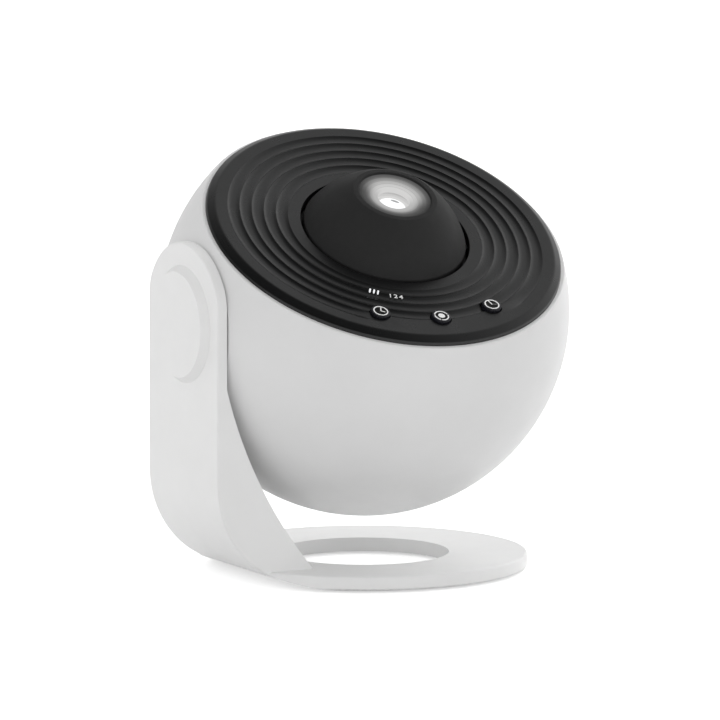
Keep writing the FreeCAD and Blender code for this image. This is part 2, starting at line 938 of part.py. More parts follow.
def panel_plate():
    edges, last = groove_edges()
    wall_top = seam_z + rim_wall
    run = [(last, panel_top_z), (seat_r, panel_top_z), (seat_r, seam_z), (rim_r, seam_z), (rim_r, wall_top),
           (rim_r - rim_chamfer, panel_top_z), (groove_first_r, panel_top_z)]
    corners = [Vector(p[0], 0, p[1]) for p in run]
    lines = [Part.LineSegment(a, b).toShape() for a, b in zip(corners, corners[1:])]
    return spun(edges + lines)


def front_sector(outer, inner, half_angle, low, high):
    ring = tube(outer, inner, low, high)
    reach = 3 * outer
    spread = math.radians(half_angle)
    tip = Vector(0, 0, low - 1)
    left = Vector(-reach * math.sin(spread), -reach * math.cos(spread), low - 1)
    right = Vector(-left.x, left.y, low - 1)
    wedge = Part.Face(Part.makePolygon([tip, left, right, tip])).extrude(Vector(0, 0, high - low + 2))
    return ring.common(wedge)


def key_spots():
    return [polar(key_ring_r, key_turn + key_step * i) for i in (-1, 0, 1)]


def bar_shapes(grow, low, high):
    # Short radial bars side by side.
    bars = []
    for i in range(bar_count):
        x = (i - (bar_count - 1) / 2) * bar_pitch
        width, length = bar_width / 2 + grow, bar_length / 2 + grow
        bar = block(x - width, x + width, -bar_ring_r - length, -bar_ring_r + length, low, high)
        bars.append(turned(bar, bar_angle))
    return bars


def post_spots():
    return [polar(post_ring_r, side * (90 + lean)) for side in (-1, 1) for lean in (-post_angle, post_angle)]


def board_post_spots():
    return [polar(board_post_ring_r, side * board_post_angle) for side in (-1, 1)]


def snap_hook():
    low = seam_z - skirt_depth
    inner, tip = skirt_r - skirt_wall, skirt_r + hook_reach
    top = low + hook_height
    slope = low + hook_height / 2
    nose = profile([(inner, low), (skirt_r, low), (tip, slope), (tip, top), (inner, top + hook_reach)])
    return nose.common(block(0, ball_r, -hook_width / 2, hook_width / 2, low, seam_z))


def face_panel():
    plate = panel_plate()
    band = front_sector(land_r, band_inner_r, band_half_angle, seam_z + 1, panel_top_z)
    skirt = tube(skirt_r, skirt_r - skirt_wall, seam_z - skirt_depth, seam_z + 0.5)
    seat = tube(seat_r + seat_wall, seat_r, seat_floor_z, seam_z + 0.5)
    lip = tube(seat_r + seat_wall, seat_lip_r, seat_floor_z - seat_lip, seat_floor_z)
    posts = [disc(post_r, plate_top_z, seam_z + 0.5, x, y) for x, y in post_spots()]
    studs = [disc(boss_r, board_top_z, seam_z + 0.5, x, y) for x, y in board_post_spots()]
    hooks = around(snap_hook(), hook_count, 30.0)
    panel = fuse_all([plate, band, skirt, seat, lip] + posts + studs + hooks)
    holes = holes_at(key_spots(), key_r + key_gap, seam_z, panel_top_z)
    holes += [disc(screw_r, plate_top_z, plate_top_z + post_hole_depth, x, y) for x, y in post_spots()]
    holes += [disc(screw_r, board_top_z, board_top_z + stud_hole_depth, x, y) for x, y in board_post_spots()]
    holes += bar_shapes(bar_slot, seam_z - 1, panel_top_z + 1)
    return cut_all(panel, holes)


def key_shape(spot):
    x, y = spot
    top = panel_top_z + key_proud
    cap = disc(key_r, seam_z - key_flange, top, x, y)
    cap = cap.makeFillet(key_edge, [e for e in cap.Edges if e.BoundBox.ZMin > top - 0.01])
    flange = disc(key_flange_r, seam_z - key_flange, seam_z, x, y)
    stem_foot = board_top_z + switch_floor + key_travel + key_stem_gap
    stem = disc(key_stem_r, stem_foot, seam_z, x, y)
    return fuse_all([cap, flange, stem])


def indicator_bars():
    low = board_top_z + led_height + bar_led_gap
    return Part.makeCompound(bar_shapes(0.0, low, panel_top_z))


def indicator_leds():
    return Part.makeCompound(bar_shapes(-bar_slot, board_top_z, board_top_z + led_height))


# Control board

def control_board():
    board = front_sector(board_outer_r, board_inner_r, board_half_angle, board_foot_z, board_top_z)
    return cut_all(board, holes_at(board_post_spots(), screw_r + screw_clear, board_foot_z, board_top_z))


def board_screws():
    length = board_thick + stud_hole_depth - screw_end_gap
    return Part.makeCompound([screw(x, y, board_foot_z, length, True) for x, y in board_post_spots()])


def key_switches():
    switches = []
    for i in (-1, 0, 1):
        top = board_top_z + switch_height
        body = slab(switch_size, switch_size, board_top_z, top, 0, -key_ring_r)
        body = body.cut(disc(switch_hole_r, board_top_z + switch_floor, top, 0, -key_ring_r))
        switches.append(turned(body, key_turn + key_step * i))
    return Part.makeCompound(switches)


def board_chips():
    chips = [slab(chip_size, chip_size, board_foot_z - chip_height, board_foot_z, 0, -key_ring_r)]
    for angle in (-small_chip_angle, small_chip_angle):
        low = board_foot_z - small_chip_height
        chip = slab(small_chip_size, small_chip_size, low, board_foot_z, 0, -key_ring_r)
        chips.append(turned(chip, angle))
    return Part.makeCompound(chips)


def plug_face(angle):
    # Middle of a connector's lower face.
    x, y = polar(plug_ring_r, angle)
    return x, y, board_foot_z - plug_height


def board_connectors():
    plugs = []
    for angle in (led_plug_angle, motor_plug_angle, usb_plug_angle):
        plug = slab(plug_width, plug_depth, board_foot_z - plug_height, board_foot_z, 0, -plug_ring_r)
        plugs.append(turned(plug, angle))
    return Part.makeCompound(plugs)


# Chassis plate and light engine

def motor_spot():
    turn = math.radians(motor_angle)
    return motor_ring_r * math.cos(turn), motor_ring_r * math.sin(turn)


def motor_screw_spots():
    x, y = motor_spot()
    return [(x - motor_screw_ring_r, y), (x + motor_screw_ring_r, y)]


def ear_spots():
    ears = range(3)
    return [polar(ear_ring_r, 120.0 * i) for i in ears]


def chassis_plate():
    plate = tube(chassis_r, housing_r + boss_clear, chassis_foot_z, plate_top_z)
    x, y = motor_spot()
    flush_spots = motor_screw_spots() + ear_spots()
    holes = [hole(motor_boss_r + boss_clear, chassis_foot_z, plate_top_z, x, y)]
    holes += holes_at(post_spots(), screw_r + screw_clear, chassis_foot_z, plate_top_z)
    holes += [flush_hole(px, py, plate_top_z, chassis_thick + 1) for px, py in flush_spots]
    holes += holes_at([polar(wire_hole_ring_r, led_plug_angle)], wire_hole_r, chassis_foot_z, plate_top_z)
    return cut_all(plate, holes)


def chassis_screws():
    length = chassis_thick + post_hole_depth - screw_end_gap
    return Part.makeCompound([screw(x, y, chassis_foot_z, length, True) for x, y in post_spots()])


def engine_screws():
    length = chassis_thick + ear_hole_depth
    return Part.makeCompound([flush_screw(x, y, plate_top_z, length) for x, y in ear_spots()])


def engine_housing():
    ring_top = spigot_top_z + neck_height
    body = profile([(housing_bore_r, housing_foot_z), (housing_r, housing_foot_z), (housing_r, shoulder_z),
                    (spigot_r, shoulder_z), (spigot_r, spigot_top_z), (neck_r, spigot_top_z),
                    (neck_r, ring_top), (lip_r, ring_top), (lip_r, lip_z), (housing_bore_r, lip_z)])
    ears = []
    for x, y in ear_spots():
        ears.append(disc(ear_r, chassis_foot_z - ear_thick, chassis_foot_z, x, y))
        ears.append(disc(ear_r, housing_foot_z, housing_foot_z + foot_ear_thick, x, y))
    bore = disc(housing_bore_r, housing_foot_z, lip_z)
    body = fuse_all([body] + [ear.cut(bore) for ear in ears])
    holes = [disc(screw_r, chassis_foot_z - ear_hole_depth, chassis_foot_z, x, y) for x, y in ear_spots()]
    holes += holes_at(ear_spots(), screw_r, housing_foot_z, housing_foot_z + foot_ear_thick)
    port = Part.makeCylinder(wire_port_r, housing_r + 2, Vector(0, 0, wire_port_z()), Vector(0, -1, 0))
    return cut_all(body, holes + [turned(port, led_plug_angle)])


def wire_port_z():
    return housing_foot_z + led_board_thick + wire_r


def heatsink_screws():
    length = foot_ear_thick + sink_base - screw_end_gap
    seat = housing_foot_z + foot_ear_thick
    return Part.makeCompound([screw(x, y, seat, length) for x, y in ear_spots()])


def condenser_lens():
    # Flat top under the housing's lip, domed towards the LED, with a flat land for its ring.
    low = lip_z - condenser_edge
    r = housing_bore_r - lens_gap
    dome_r = housing_bore_r - condenser_ring_wall - lens_gap
    foot = Vector(0, 0, low - condenser_dome)
    arc = Part.Arc(foot, dome_middle(dome_r, low, -condenser_dome), Vector(dome_r, 0, low)).toShape()
    return spun([arc] + open_edges([(dome_r, low), (r, low), (r, lip_z), (0, lip_z), (0, foot.z)]))


def dome_middle(r, z, rise):
    # A point halfway round the arc from the axis to the rim of a dome.
    big = (r ** 2 + rise ** 2) / (2 * abs(rise))
    half = math.asin(r / big) / 2
    sign = 1 if rise > 0 else -1
    return Vector(big * math.sin(half), 0, z + rise - sign * big * (1 - math.cos(half)))


def condenser_ring():
    low = lip_z - condenser_edge - condenser_ring_thick
    return tube(housing_bore_r, housing_bore_r - condenser_ring_wall, low, low + condenser_ring_thick)


def led_board():
    return disc(led_board_r, housing_foot_z, housing_foot_z + led_board_thick)


def led_chip():
    low = housing_foot_z + led_board_thick
    half = led_chip_size / 2
    base = block(-half, half, -half, half, low, low + led_chip_thick)
    top = low + led_chip_thick
    dome = Part.makeSphere(led_dome_r, Vector(0, 0, top)).common(disc(led_dome_r, top, top + led_dome_r))
    return base.fuse(dome).removeSplitter()


def heat_sink():
    top, low = housing_foot_z, housing_foot_z - sink_base
    depth_room = disc(sink_r, low - sink_depth, low)
    pitch = 2 * sink_r / fin_count
    places = [(i + 0.5) * pitch - sink_r for i in range(fin_count)]
    fins = [slab(fin_thick, 2 * sink_r, low - sink_depth, low, x) for x in places]
    body = fuse_all([disc(sink_r, low, top)] + [fin.common(depth_room) for fin in fins])
    return cut_all(body, [disc(screw_r, low, top, x, y) for x, y in ear_spots()])


# Film drive

def tooth_half_angle(radius, pitch_r, teeth):
    base_r = pitch_r * math.cos(math.radians(pressure_angle))

    def involute(angle):
        return math.tan(angle) - angle

    at_pitch = math.pi / (2 * teeth) - tooth_backlash / (4 * pitch_r)
    here = math.acos(min(1.0, base_r / max(radius, base_r)))
    return at_pitch + involute(math.radians(pressure_angle)) - involute(here)


def gear_face(teeth, phase, z):
    pitch_r = tooth_module * teeth / 2
    steps = (-tooth_root, -tooth_root / 2.5, 0.0, tooth_tip)
    radii = [pitch_r + step * tooth_module for step in steps]
    corners = []
    for i in range(teeth):
        mid = math.radians(phase) + 2 * math.pi * i / teeth
        flank = [(r, tooth_half_angle(r, pitch_r, teeth)) for r in radii]
        for r, half in flank:
            corners.append(Vector(r * math.cos(mid - half), r * math.sin(mid - half), z))
        for r, half in reversed(flank):
            corners.append(Vector(r * math.cos(mid + half), r * math.sin(mid + half), z))
    return Part.Face(Part.makePolygon(corners + corners[:1]))


def film_carrier():
    gear = gear_face(carrier_teeth, motor_angle, shoulder_z).extrude(Vector(0, 0, carrier_thick))
    wall_r = film_seat_r + film_wall
    cup = disc(wall_r, gear_top_z, film_cup_top_z).cut(disc(film_seat_r, film_floor_z, film_cup_top_z))
    body = gear.fuse(cup).cut(hole(spigot_r + carrier_clear, shoulder_z, film_floor_z))
    return body.cut(disc(retainer_r + retainer_room, spigot_top_z - retainer_gap, film_floor_z))


def carrier_retainer():
    return tube(retainer_r, neck_r, spigot_top_z, spigot_top_z + retainer_thick)


def film_disc():
    return disc(film_r, film_floor_z, film_floor_z + film_thick)


def film_clip():
    low = film_floor_z + film_thick
    return tube(film_seat_r, film_seat_r - clip_width, low, low + clip_thick)


def drive_pinion():
    x, y = motor_spot()
    phase = motor_angle + 180 + 180.0 / pinion_teeth
    low, high = shoulder_z + pinion_inset, gear_top_z - pinion_inset
    solid = gear_face(pinion_teeth, phase, low).extrude(Vector(0, 0, high - low))
    solid.translate(Vector(x, y, 0))
    return solid.cut(hole(motor_shaft_r, low, high, x, y))


def motor_shaft():
    x, y = motor_spot()
    return disc(motor_shaft_r, plate_top_z - motor_boss_drop, gear_top_z + motor_shaft_top, x, y)


def disc_motor():
    x, y = motor_spot()
    can = disc(motor_r, chassis_foot_z - motor_length, chassis_foot_z, x, y)
    boss = disc(motor_boss_r, chassis_foot_z, plate_top_z - motor_boss_drop, x, y)
    body = can.fuse(boss).removeSplitter()
    low = chassis_foot_z - motor_hole_depth
    return cut_all(body, [disc(screw_r, low, chassis_foot_z, px, py) for px, py in motor_screw_spots()])


def motor_screws():
    length = chassis_thick + motor_hole_depth
    return Part.makeCompound([flush_screw(x, y, plate_top_z, length) for x, y in motor_screw_spots()])


# Lens head

def focus_guide():
    outer = tube(guide_r, guide_in_r, seat_floor_z, guide_top_z)
    floor = tube(guide_r, barrel_r + head_gap, seat_floor_z, guide_floor_z)
    sleeve = tube(sleeve_out_r, sleeve_in_r, guide_floor_z - 0.5, sleeve_top_z)
    body = fuse_all([outer, floor, sleeve])
    room = focus_travel + pin_r + head_gap
    half = pin_r + head_gap
    slot = block(-sleeve_out_r - 1, sleeve_out_r + 1, -half, half, pin_z - room, pin_z + room)
    slot = slot.cut(disc(sleeve_in_r - 0.1, pin_z - room, pin_z + room))
    groove = tube(guide_r + 1, guide_r - 2 * seal_r, seal_z - seal_groove_half, seal_z + seal_groove_half)
    low = ridge_z - ridge_half - ridge_reach / 2 - ridge_gap
    track_r = guide_in_r - hood_skirt_gap + ridge_reach + ridge_gap
    track = tube(track_r, guide_in_r - 0.1, low, ridge_z + ridge_half + ridge_gap)
    return cut_all(body, [slot, groove, track])


def seal_ring():
    return Part.makeTorus(guide_r - seal_r, seal_r, Vector(0, 0, seal_z))


def helix_slots():
    # Two slots along the focus thread, wide enough for the barrel's pins.
    lead = focus_travel / focus_turn
    inner, outer = focus_tube_in_r - 1, focus_tube_out_r + 1
    half = pin_r + head_gap
    reach = focus_turn + math.degrees(half / focus_tube_in_r) + slot_margin
    sections = []
    for i in range(slot_samples + 1):
        angle = -reach + 2 * reach * i / slot_samples
        z = pin_z - lead * angle
        corners = [Vector(inner, 0, z - half), Vector(outer, 0, z - half), Vector(outer, 0, z + half),
                   Vector(inner, 0, z + half), Vector(inner, 0, z - half)]
        sections.append(turned(Part.makePolygon(corners), angle))
    slot = Part.makeLoft(sections, True, True)
    return [slot, turned(slot, 180)]


def well_points():
    # Stepped rings from the hood's lip down to its mouth.
    r, z = well_r, hood_top_z - well_drop
    points = [(r, z)]
    for _ in range(well_steps):
        r, z = r - well_pitch, z - well_step_fall
        points.append((r, z))
        z -= well_step_drop
        points.append((r, z))
    return points


def hood_flank(base, top, swell):
    # The hood's bowed side from its base up to its rim.
    start = Vector(base[0], 0, base[1])
    end = Vector(top[0], 0, top[1])
    way = end - start
    side = Vector(way.z, 0, -way.x).normalize()
    return Part.Arc(start, (start + end) * 0.5 + side * swell, end).toShape()


def lens_hood():
    rest_z = guide_top_z + head_gap
    skirt_r_out = guide_in_r - hood_skirt_gap
    skirt_in = skirt_r_out - hood_shell
    base = (hood_base_r, panel_top_z)
    rim = (hood_rim_r, hood_top_z)
    inner_rim = (focus_tube_out_r + hood_root_step, floor_under_z - hood_tube_fillet)
    inner_base = (hood_base_r - hood_shell - hood_root_step, panel_top_z)
    outer_edges = [hood_flank(base, rim, hood_swell)]
    run = [rim, (hood_rim_r - hood_lip / 2, hood_top_z + hood_lip_rise)] + well_points()
    tube_foot = guide_floor_z + hood_rest_gap
    run += [(well_mouth_r, floor_under_z), (focus_tube_in_r, floor_under_z), (focus_tube_in_r, tube_foot),
            (focus_tube_out_r, tube_foot), (focus_tube_out_r, inner_rim[1]), inner_rim]
    skirt_foot = guide_floor_z + hood_foot_gap
    ridge_low, ridge_high, ridge_r = ridge_z - ridge_half, ridge_z + ridge_half, skirt_r_out + ridge_reach
    tail = [inner_base, (skirt_in, rest_z), (skirt_in, skirt_foot), (skirt_r_out, skirt_foot),
            (skirt_r_out, ridge_low - ridge_reach / 2), (ridge_r, ridge_low), (ridge_r, ridge_high),
            (skirt_r_out, ridge_high), (skirt_r_out, rest_z), (hood_base_r, rest_z), base]
    flank = hood_flank(inner_base, inner_rim, hood_swell)
    edges = outer_edges + open_edges(run) + [flank] + open_edges(tail)
    return cut_all(spun(edges), helix_slots())


def open_edges(points):
    corners = [Vector(p[0], 0, p[1]) for p in points]
    return [Part.LineSegment(a, b).toShape() for a, b in zip(corners, corners[1:])]


def lens_barrel():
    inner = barrel_r - barrel_wall
    bore = nose_r - nose_wall
    body = profile([(inner, barrel_foot_z), (barrel_r, barrel_foot_z), (barrel_r, barrel_top_z),
                    (nose_r, barrel_top_z), (nose_r, nose_top_z), (bore, nose_top_z),
                    (bore, nose_top_z - front_lens_thick), (bore - lens_ledge, nose_top_z - front_lens_thick),
                    (bore - lens_ledge, barrel_top_z - barrel_wall), (inner, barrel_top_z - barrel_wall)])
    drill = Part.makeCylinder(pin_r, 2 * barrel_r + 2, Vector(-barrel_r - 1, 0, pin_z), axis_x)
    return body.cut(drill)


def guide_pins():
    start = barrel_r - barrel_wall - pin_in
    length = sleeve_out_r - pin_tip_gap - start
    pins = [Part.makeCylinder(pin_r, length, Vector(side * start, 0, pin_z), Vector(side, 0, 0))
            for side in (-1, 1)]
    return Part.makeCompound(pins)


def front_lens():
    r = nose_r - nose_wall
    low = nose_top_z - front_lens_thick
    edge_z = nose_top_z - front_lens_dome
    arc = Part.Arc(Vector(r, 0, edge_z), dome_middle(r, edge_z, front_lens_dome),
                   Vector(0, 0, nose_top_z)).toShape()
    return spun([arc] + open_edges([(0, nose_top_z), (0, low), (r, low), (r, edge_z)]))


def rear_lens():
    r = barrel_r - barrel_wall
    dome_r = r - retainer_ring_wall - lens_gap
    low, high = rear_lens_z, rear_lens_z + rear_lens_edge
    foot, head = Vector(0, 0, low - rear_lens_dome), Vector(0, 0, high + rear_lens_dome)
    top_arc = Part.Arc(Vector(r, 0, high), dome_middle(r, high, rear_lens_dome), head).toShape()
    low_arc = Part.Arc(foot, dome_middle(dome_r, low, -rear_lens_dome), Vector(dome_r, 0, low)).toShape()
    axis_line = Part.LineSegment(head, foot).toShape()
    return spun([top_arc, axis_line, low_arc] + open_edges([(dome_r, low), (r, low), (r, high)]))


def lens_retainer():
    outer = barrel_r - barrel_wall
    return tube(outer, outer - retainer_ring_wall, barrel_foot_z, rear_lens_z)


# Wires inside the ball

def led_wires():
    # From the LED board, out through the housing's port and up to the control board.
    z = wire_port_z()
    pad = polar(led_pad_ring_r, led_plug_angle)
    out = polar(wire_hole_ring_r, led_plug_angle)
    end = plug_face(led_plug_angle)
    turn_z = (plate_top_z + end[2]) / 2 - wire_r
    points = [pad + (z,), out + (z,), out + (turn_z,), (end[0], end[1], turn_z), end]
    return wire(points)


def motor_wires():
    # Round the chassis plate's right side to the control board.
    x, y = motor_spot()
    low = chassis_foot_z - motor_length
    side = chassis_r + wire_room
    end = plug_face(motor_plug_angle)
    lift = end[2] - wire_run
    points = [(x, y, low), (x, y, low - wire_run), (x + motor_wire_out, y + wire_run, low - wire_run)]
    points += [polar(side, 128) + (chassis_foot_z,), polar(side, 100) + (lift,), polar(side, 68) + (lift,)]
    points += [polar(side, 40) + (lift - 2 * wire_r,), (end[0], end[1], lift), end]
    return wire(points)


def usb_wires():
    # Round the chassis plate's left side to the control board.
    top = usb_board_top() - usb_board_thick / 2
    edge = usb_pad_r - usb_board_length
    tilt = math.radians(usb_angle)
    start, second = [(0, y * math.cos(tilt) - top * math.sin(tilt), y * math.sin(tilt) + top * math.cos(tilt))
                     for y in (edge, edge - 2 * wire_run)]
    side = chassis_r + wire_room
    end = plug_face(usb_plug_angle)
    lift = end[2] - wire_run
    low = chassis_foot_z - usb_wire_drop
    points = [start, second, polar(chassis_r - 2 * wire_room, -132) + (low,)]
    points += [polar(side, -106) + (low + usb_wire_drop / 2,)]
    points += [polar(side, -82) + (chassis_foot_z - 2 * wire_r,), polar(side, -56) + (lift - 2 * wire_r,)]
    points += [polar(side, -30) + (lift,), (end[0], end[1], lift), end]
    return wire(points)


# Placing and writing

def from_lens_frame(shape):
    copy = turned(shape, lens_tilt, axis_x)
    return upright(copy)


def upright(shape):
    copy = shape.copy()
    copy.translate(Vector(origin_shift, 0, ball_height))
    return copy


stand_parts = [stand_frame, arm_inner_cover, cover_screws, base_pad, pivot_cap, pivot_bush, friction_washer]

ball_parts = [pivot_bolt, spring_washer, pivot_plate, pivot_screws, pivot_nut, ball_shell, face_panel]
ball_parts += [usb_socket, usb_tongue, usb_board, usb_screws, indicator_bars, indicator_leds, control_board]
ball_parts += [board_screws, key_switches, board_chips, board_connectors, chassis_plate, chassis_screws]
ball_parts += [engine_housing, engine_screws, heatsink_screws, condenser_lens, condenser_ring, led_board]
ball_parts += [led_chip, heat_sink, film_carrier, carrier_retainer, film_disc, film_clip, drive_pinion]
ball_parts += [motor_shaft, disc_motor, motor_screws, focus_guide, seal_ring, lens_hood, lens_barrel]
ball_parts += [guide_pins, front_lens, rear_lens, lens_retainer, led_wires, motor_wires, usb_wires]


def write(name, shape):
    solids = shape.Solids
    body = solids[0] if len(solids) == 1 else Part.makeCompound(solids)
    body.exportStep("parts/" + name + ".step")
    print(name, len(solids), body.isValid(), round(body.Volume, 1))


os.makedirs("parts", exist_ok=True)

for make in stand_parts:
    write(make.__name__, upright(make()))

for make in ball_parts:
    write(make.__name__, from_lens_frame(make()))

for key_name, key_spot in zip(("timer_key", "light_key", "power_key"), key_spots()):
    write(key_name, from_lens_frame(key_shape(key_spot)))
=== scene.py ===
import json
import math

import bmesh
import bpy
from mathutils import Matrix, Vector


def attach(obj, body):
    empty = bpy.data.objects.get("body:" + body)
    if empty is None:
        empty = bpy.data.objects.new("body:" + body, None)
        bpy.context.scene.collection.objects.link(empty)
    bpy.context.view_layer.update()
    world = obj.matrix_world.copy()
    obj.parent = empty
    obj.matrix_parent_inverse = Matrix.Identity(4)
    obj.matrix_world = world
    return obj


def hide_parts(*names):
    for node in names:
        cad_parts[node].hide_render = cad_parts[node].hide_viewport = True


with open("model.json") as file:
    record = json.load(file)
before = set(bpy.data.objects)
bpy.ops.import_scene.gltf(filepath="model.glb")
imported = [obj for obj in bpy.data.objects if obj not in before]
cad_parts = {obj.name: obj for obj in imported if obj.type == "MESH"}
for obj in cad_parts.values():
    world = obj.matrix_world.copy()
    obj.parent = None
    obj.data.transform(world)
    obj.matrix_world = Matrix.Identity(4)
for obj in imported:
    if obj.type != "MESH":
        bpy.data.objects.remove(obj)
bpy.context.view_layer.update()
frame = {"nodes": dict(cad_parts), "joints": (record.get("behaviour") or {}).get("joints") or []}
print("frame loaded:", len(frame["nodes"]), "nodes")

scene = bpy.context.scene
mm = 0.001
joints = {joint["name"]: joint for joint in frame["joints"]}
ballCentre = Vector(joints["ball_tilt"]["pos_m"])
lensAxis = Vector(joints["disc_spin"]["axis"]).normalized()
lensTilt = math.atan2(-lensAxis.y, lensAxis.z)
# z out along the lens axis, -y towards the keys
lensPlace = Matrix.Translation(ballCentre) @ Matrix.Rotation(lensTilt, 4, "X")


# Camera

camera = {   # degrees and metres, apart from the lens and sensor in millimetres
    "azimuth": -27.4, "elevation": 8.8, "distance": 9.513, "aim": (-0.00124, -0.01705),
    "lens": 1400.0, "sensor": 36.0, "clip": (0.1, 30.0)}


def placeCamera():
    azimuth, elevation = math.radians(camera["azimuth"]), math.radians(camera["elevation"])
    right = Vector((math.cos(azimuth), math.sin(azimuth), 0))
    level = math.cos(elevation)
    back = Vector((math.sin(azimuth) * level, -math.cos(azimuth) * level, math.sin(elevation)))
    up = back.cross(right)
    aim = ballCentre + camera["aim"][0] * right + camera["aim"][1] * up
    data = bpy.data.cameras.new("camera")
    data.lens = camera["lens"]
    data.sensor_width = camera["sensor"]
    data.clip_start, data.clip_end = camera["clip"]
    holder = bpy.data.objects.new("camera", data)
    scene.collection.objects.link(holder)
    turn = Matrix((right, up, back)).transposed().to_4x4()
    holder.matrix_world = Matrix.Translation(aim + camera["distance"] * back) @ turn
    scene.camera = holder


placeCamera()
scene.view_settings.view_transform = "Standard"


# Shader maths

noises = {   # scale per metre, detail, roughness
    "flow": (28.0, 2.0, 0.5), "cloud": (140.0, 4.0, 0.6), "speck": (4000.0, 2.0, 0.7),
    "streak": (1.0, 4.0, 0.6), "metalCloud": (220.0, 3.0, 0.5), "weave": (2600.0, 2.0, 0.5),
    "glassSmear": (300.0, 3.0, 0.5), "litSmear": (260.0, 3.0, 0.5), "barCloud": (900.0, 2.0, 0.5),
    "printCloud": (2200.0, 3.0, 0.5), "filmCloud": (500.0, 3.0, 0.5), "rubberSpeck": (1800.0, 4.0, 0.7),
    "barrelCloud": (300.0, 4.0, 0.6), "keySpeck": (3000.0, 2.0, 0.5), "floorCloud": (40.0, 3.0, 0.5)}
spans = {"usual": (0.3, 0.7), "wide": (0.25, 0.75), "upper": (0.4, 0.8)}   # noise values that are used


class Value:
    # An output of one of a finish's nodes, so that shader sums read as plain sums.
    def __init__(self, finish, socket):
        self.finish, self.socket = finish, socket

    def math(self, operation, *others):
        inputs = {i: other for i, other in enumerate((self,) + others)}
        return self.finish.add("Math", {"operation": operation}, inputs)

    def reflected(self, operation, other):
        return self.finish.add("Math", {"operation": operation}, {0: other, 1: self})

    def __add__(self, other): return self.math("ADD", other)
    def __radd__(self, other): return self.math("ADD", other)
    def __sub__(self, other): return self.math("SUBTRACT", other)
    def __rsub__(self, other): return self.reflected("SUBTRACT", other)
    def __mul__(self, other): return self.math("MULTIPLY", other)
    def __rmul__(self, other): return self.math("MULTIPLY", other)
    def __truediv__(self, other): return self.math("DIVIDE", other)
    def __rtruediv__(self, other): return self.reflected("DIVIDE", other)
    def __pow__(self, other): return self.math("POWER", other)


class Finish:
    def __init__(self, name):
        self.material = bpy.data.materials.new(name)
        self.material.use_nodes = True
        self.tree = self.material.node_tree
        self.tree.nodes.clear()

    def add(self, kind, settings=None, inputs=None, output=0):
        # Adds a node: settings first, then the values or links of its sockets.
        node = self.tree.nodes.new("ShaderNode" + kind)
        for name, value in (settings or {}).items():
            if name == "stops":
                elements = node.color_ramp.elements
                elements[0].position, elements[0].color = value[0]
                elements[-1].position, elements[-1].color = value[-1]
                for place, colour in value[1:-1]:
                    elements.new(place).color = colour
            else:
                setattr(node, name, value)
        for key, value in (inputs or {}).items():
            if isinstance(value, Value):
                self.tree.links.new(value.socket, node.inputs[key])
            else:
                node.inputs[key].default_value = value
        return Value(self, node.outputs[output]) if node.outputs else None

    def place(self, kind="Object"):
        return self.add("TexCoord", output=kind)

    def lensCoords(self, framed):
        # x, y, z and radius in millimetres from the lens axis.
        # framed is for a node whose mesh is in the frame's own axes.
        place = self.place()
        if framed:
            place = self.add("Mapping", {"vector_type": "TEXTURE"}, {
                "Vector": place, "Location": tuple(ballCentre), "Rotation": (lensTilt, 0, 0)})
        x, y, z = (self.axis(place, i) / mm for i in range(3))
        return x, y, z, (x * x + y * y).math("SQRT")

    def noise(self, name, coords=None):
        scale, detail, rough = noises[name]
        inputs = {"Vector": coords or self.place(), "Scale": scale, "Detail": detail, "Roughness": rough}
        return self.add("TexNoise", {}, inputs)

    def band(self, value, low, high, start=0.0, end=1.0):
        # Maps value from low..high to start..end and holds it there.
        inputs = {"Value": value, "From Min": low, "From Max": high, "To Min": start, "To Max": end}
        return self.add("MapRange", {"interpolation_type": "SMOOTHSTEP"}, inputs)

    def vary(self, noise, start=0.0, end=1.0, span="usual"):
        # Runs from start to end over a noise's values.
        return self.band(noise, *spans[span], start, end)

    def ramp(self, value, stops):
        # A smooth run of grey levels: stops are (place, level) pairs.
        settings = {"stops": [(place, rgb(level)) for place, level in stops]}
        return self.add("ValToRGB", settings, {"Fac": value})

    def axis(self, vector, which):
        return self.add("SeparateXYZ", {}, {"Vector": vector}, output=which)

    def mixColour(self, factor, first, second):
        return self.add("Mix", {"data_type": "RGBA"}, {0: factor, 6: first, 7: second}, output=2)

    def bump(self, height, distance):
        return self.add("Bump", {}, {"Height": height, "Distance": distance, "Strength": 1.0})

    def surface(self, inputs):
        shader = self.add("BsdfPrincipled", {}, inputs)
        self.add("OutputMaterial", {}, {"Surface": shader})
        return self.material


def rgb(red, green=None, blue=None):
    if green is None:
        green = blue = red
    return (red, green, blue, 1.0)


# Finishes

def mouldedPlastic(name, colour, shade, rough, grain, specular=0.5):
    # Moulded plastic: a fine spark-eroded grain, faint flow marks and uneven gloss.
    scuff = 0.06
    finish = Finish(name)
    flow, cloud, speck = finish.noise("flow"), finish.noise("cloud"), finish.noise("speck")
    tone = finish.vary(flow * 0.6 + cloud * 0.3 + speck * 0.1)
    return finish.surface({
        "Base Color": finish.mixColour(tone, colour, shade),
        "Roughness": finish.vary(cloud * 0.6 + speck * 0.4, rough - scuff, rough + scuff, "wide"),
        "Specular IOR Level": specular,
        "Normal": finish.bump(speck + cloud * 0.5, grain * mm)})


def metal(name, colour, shade, rough, brushed=900.0):
    # Metal with fine streaks that run along z.
    along, scuff, grain = 0.12, 0.08, 0.004
    finish = Finish(name)
    stretched = finish.add("Mapping", {}, {
        "Vector": finish.place(), "Scale": (brushed, brushed, brushed * along)})
    streak = finish.noise("streak", stretched)
    cloud = finish.noise("metalCloud")
    return finish.surface({
        "Base Color": finish.mixColour(finish.vary(streak * 0.5 + cloud * 0.5), colour, shade),
        "Metallic": 1.0,
        "Roughness": finish.vary(streak, rough - scuff, rough + scuff),
        "Normal": finish.bump(streak, grain * mm)})


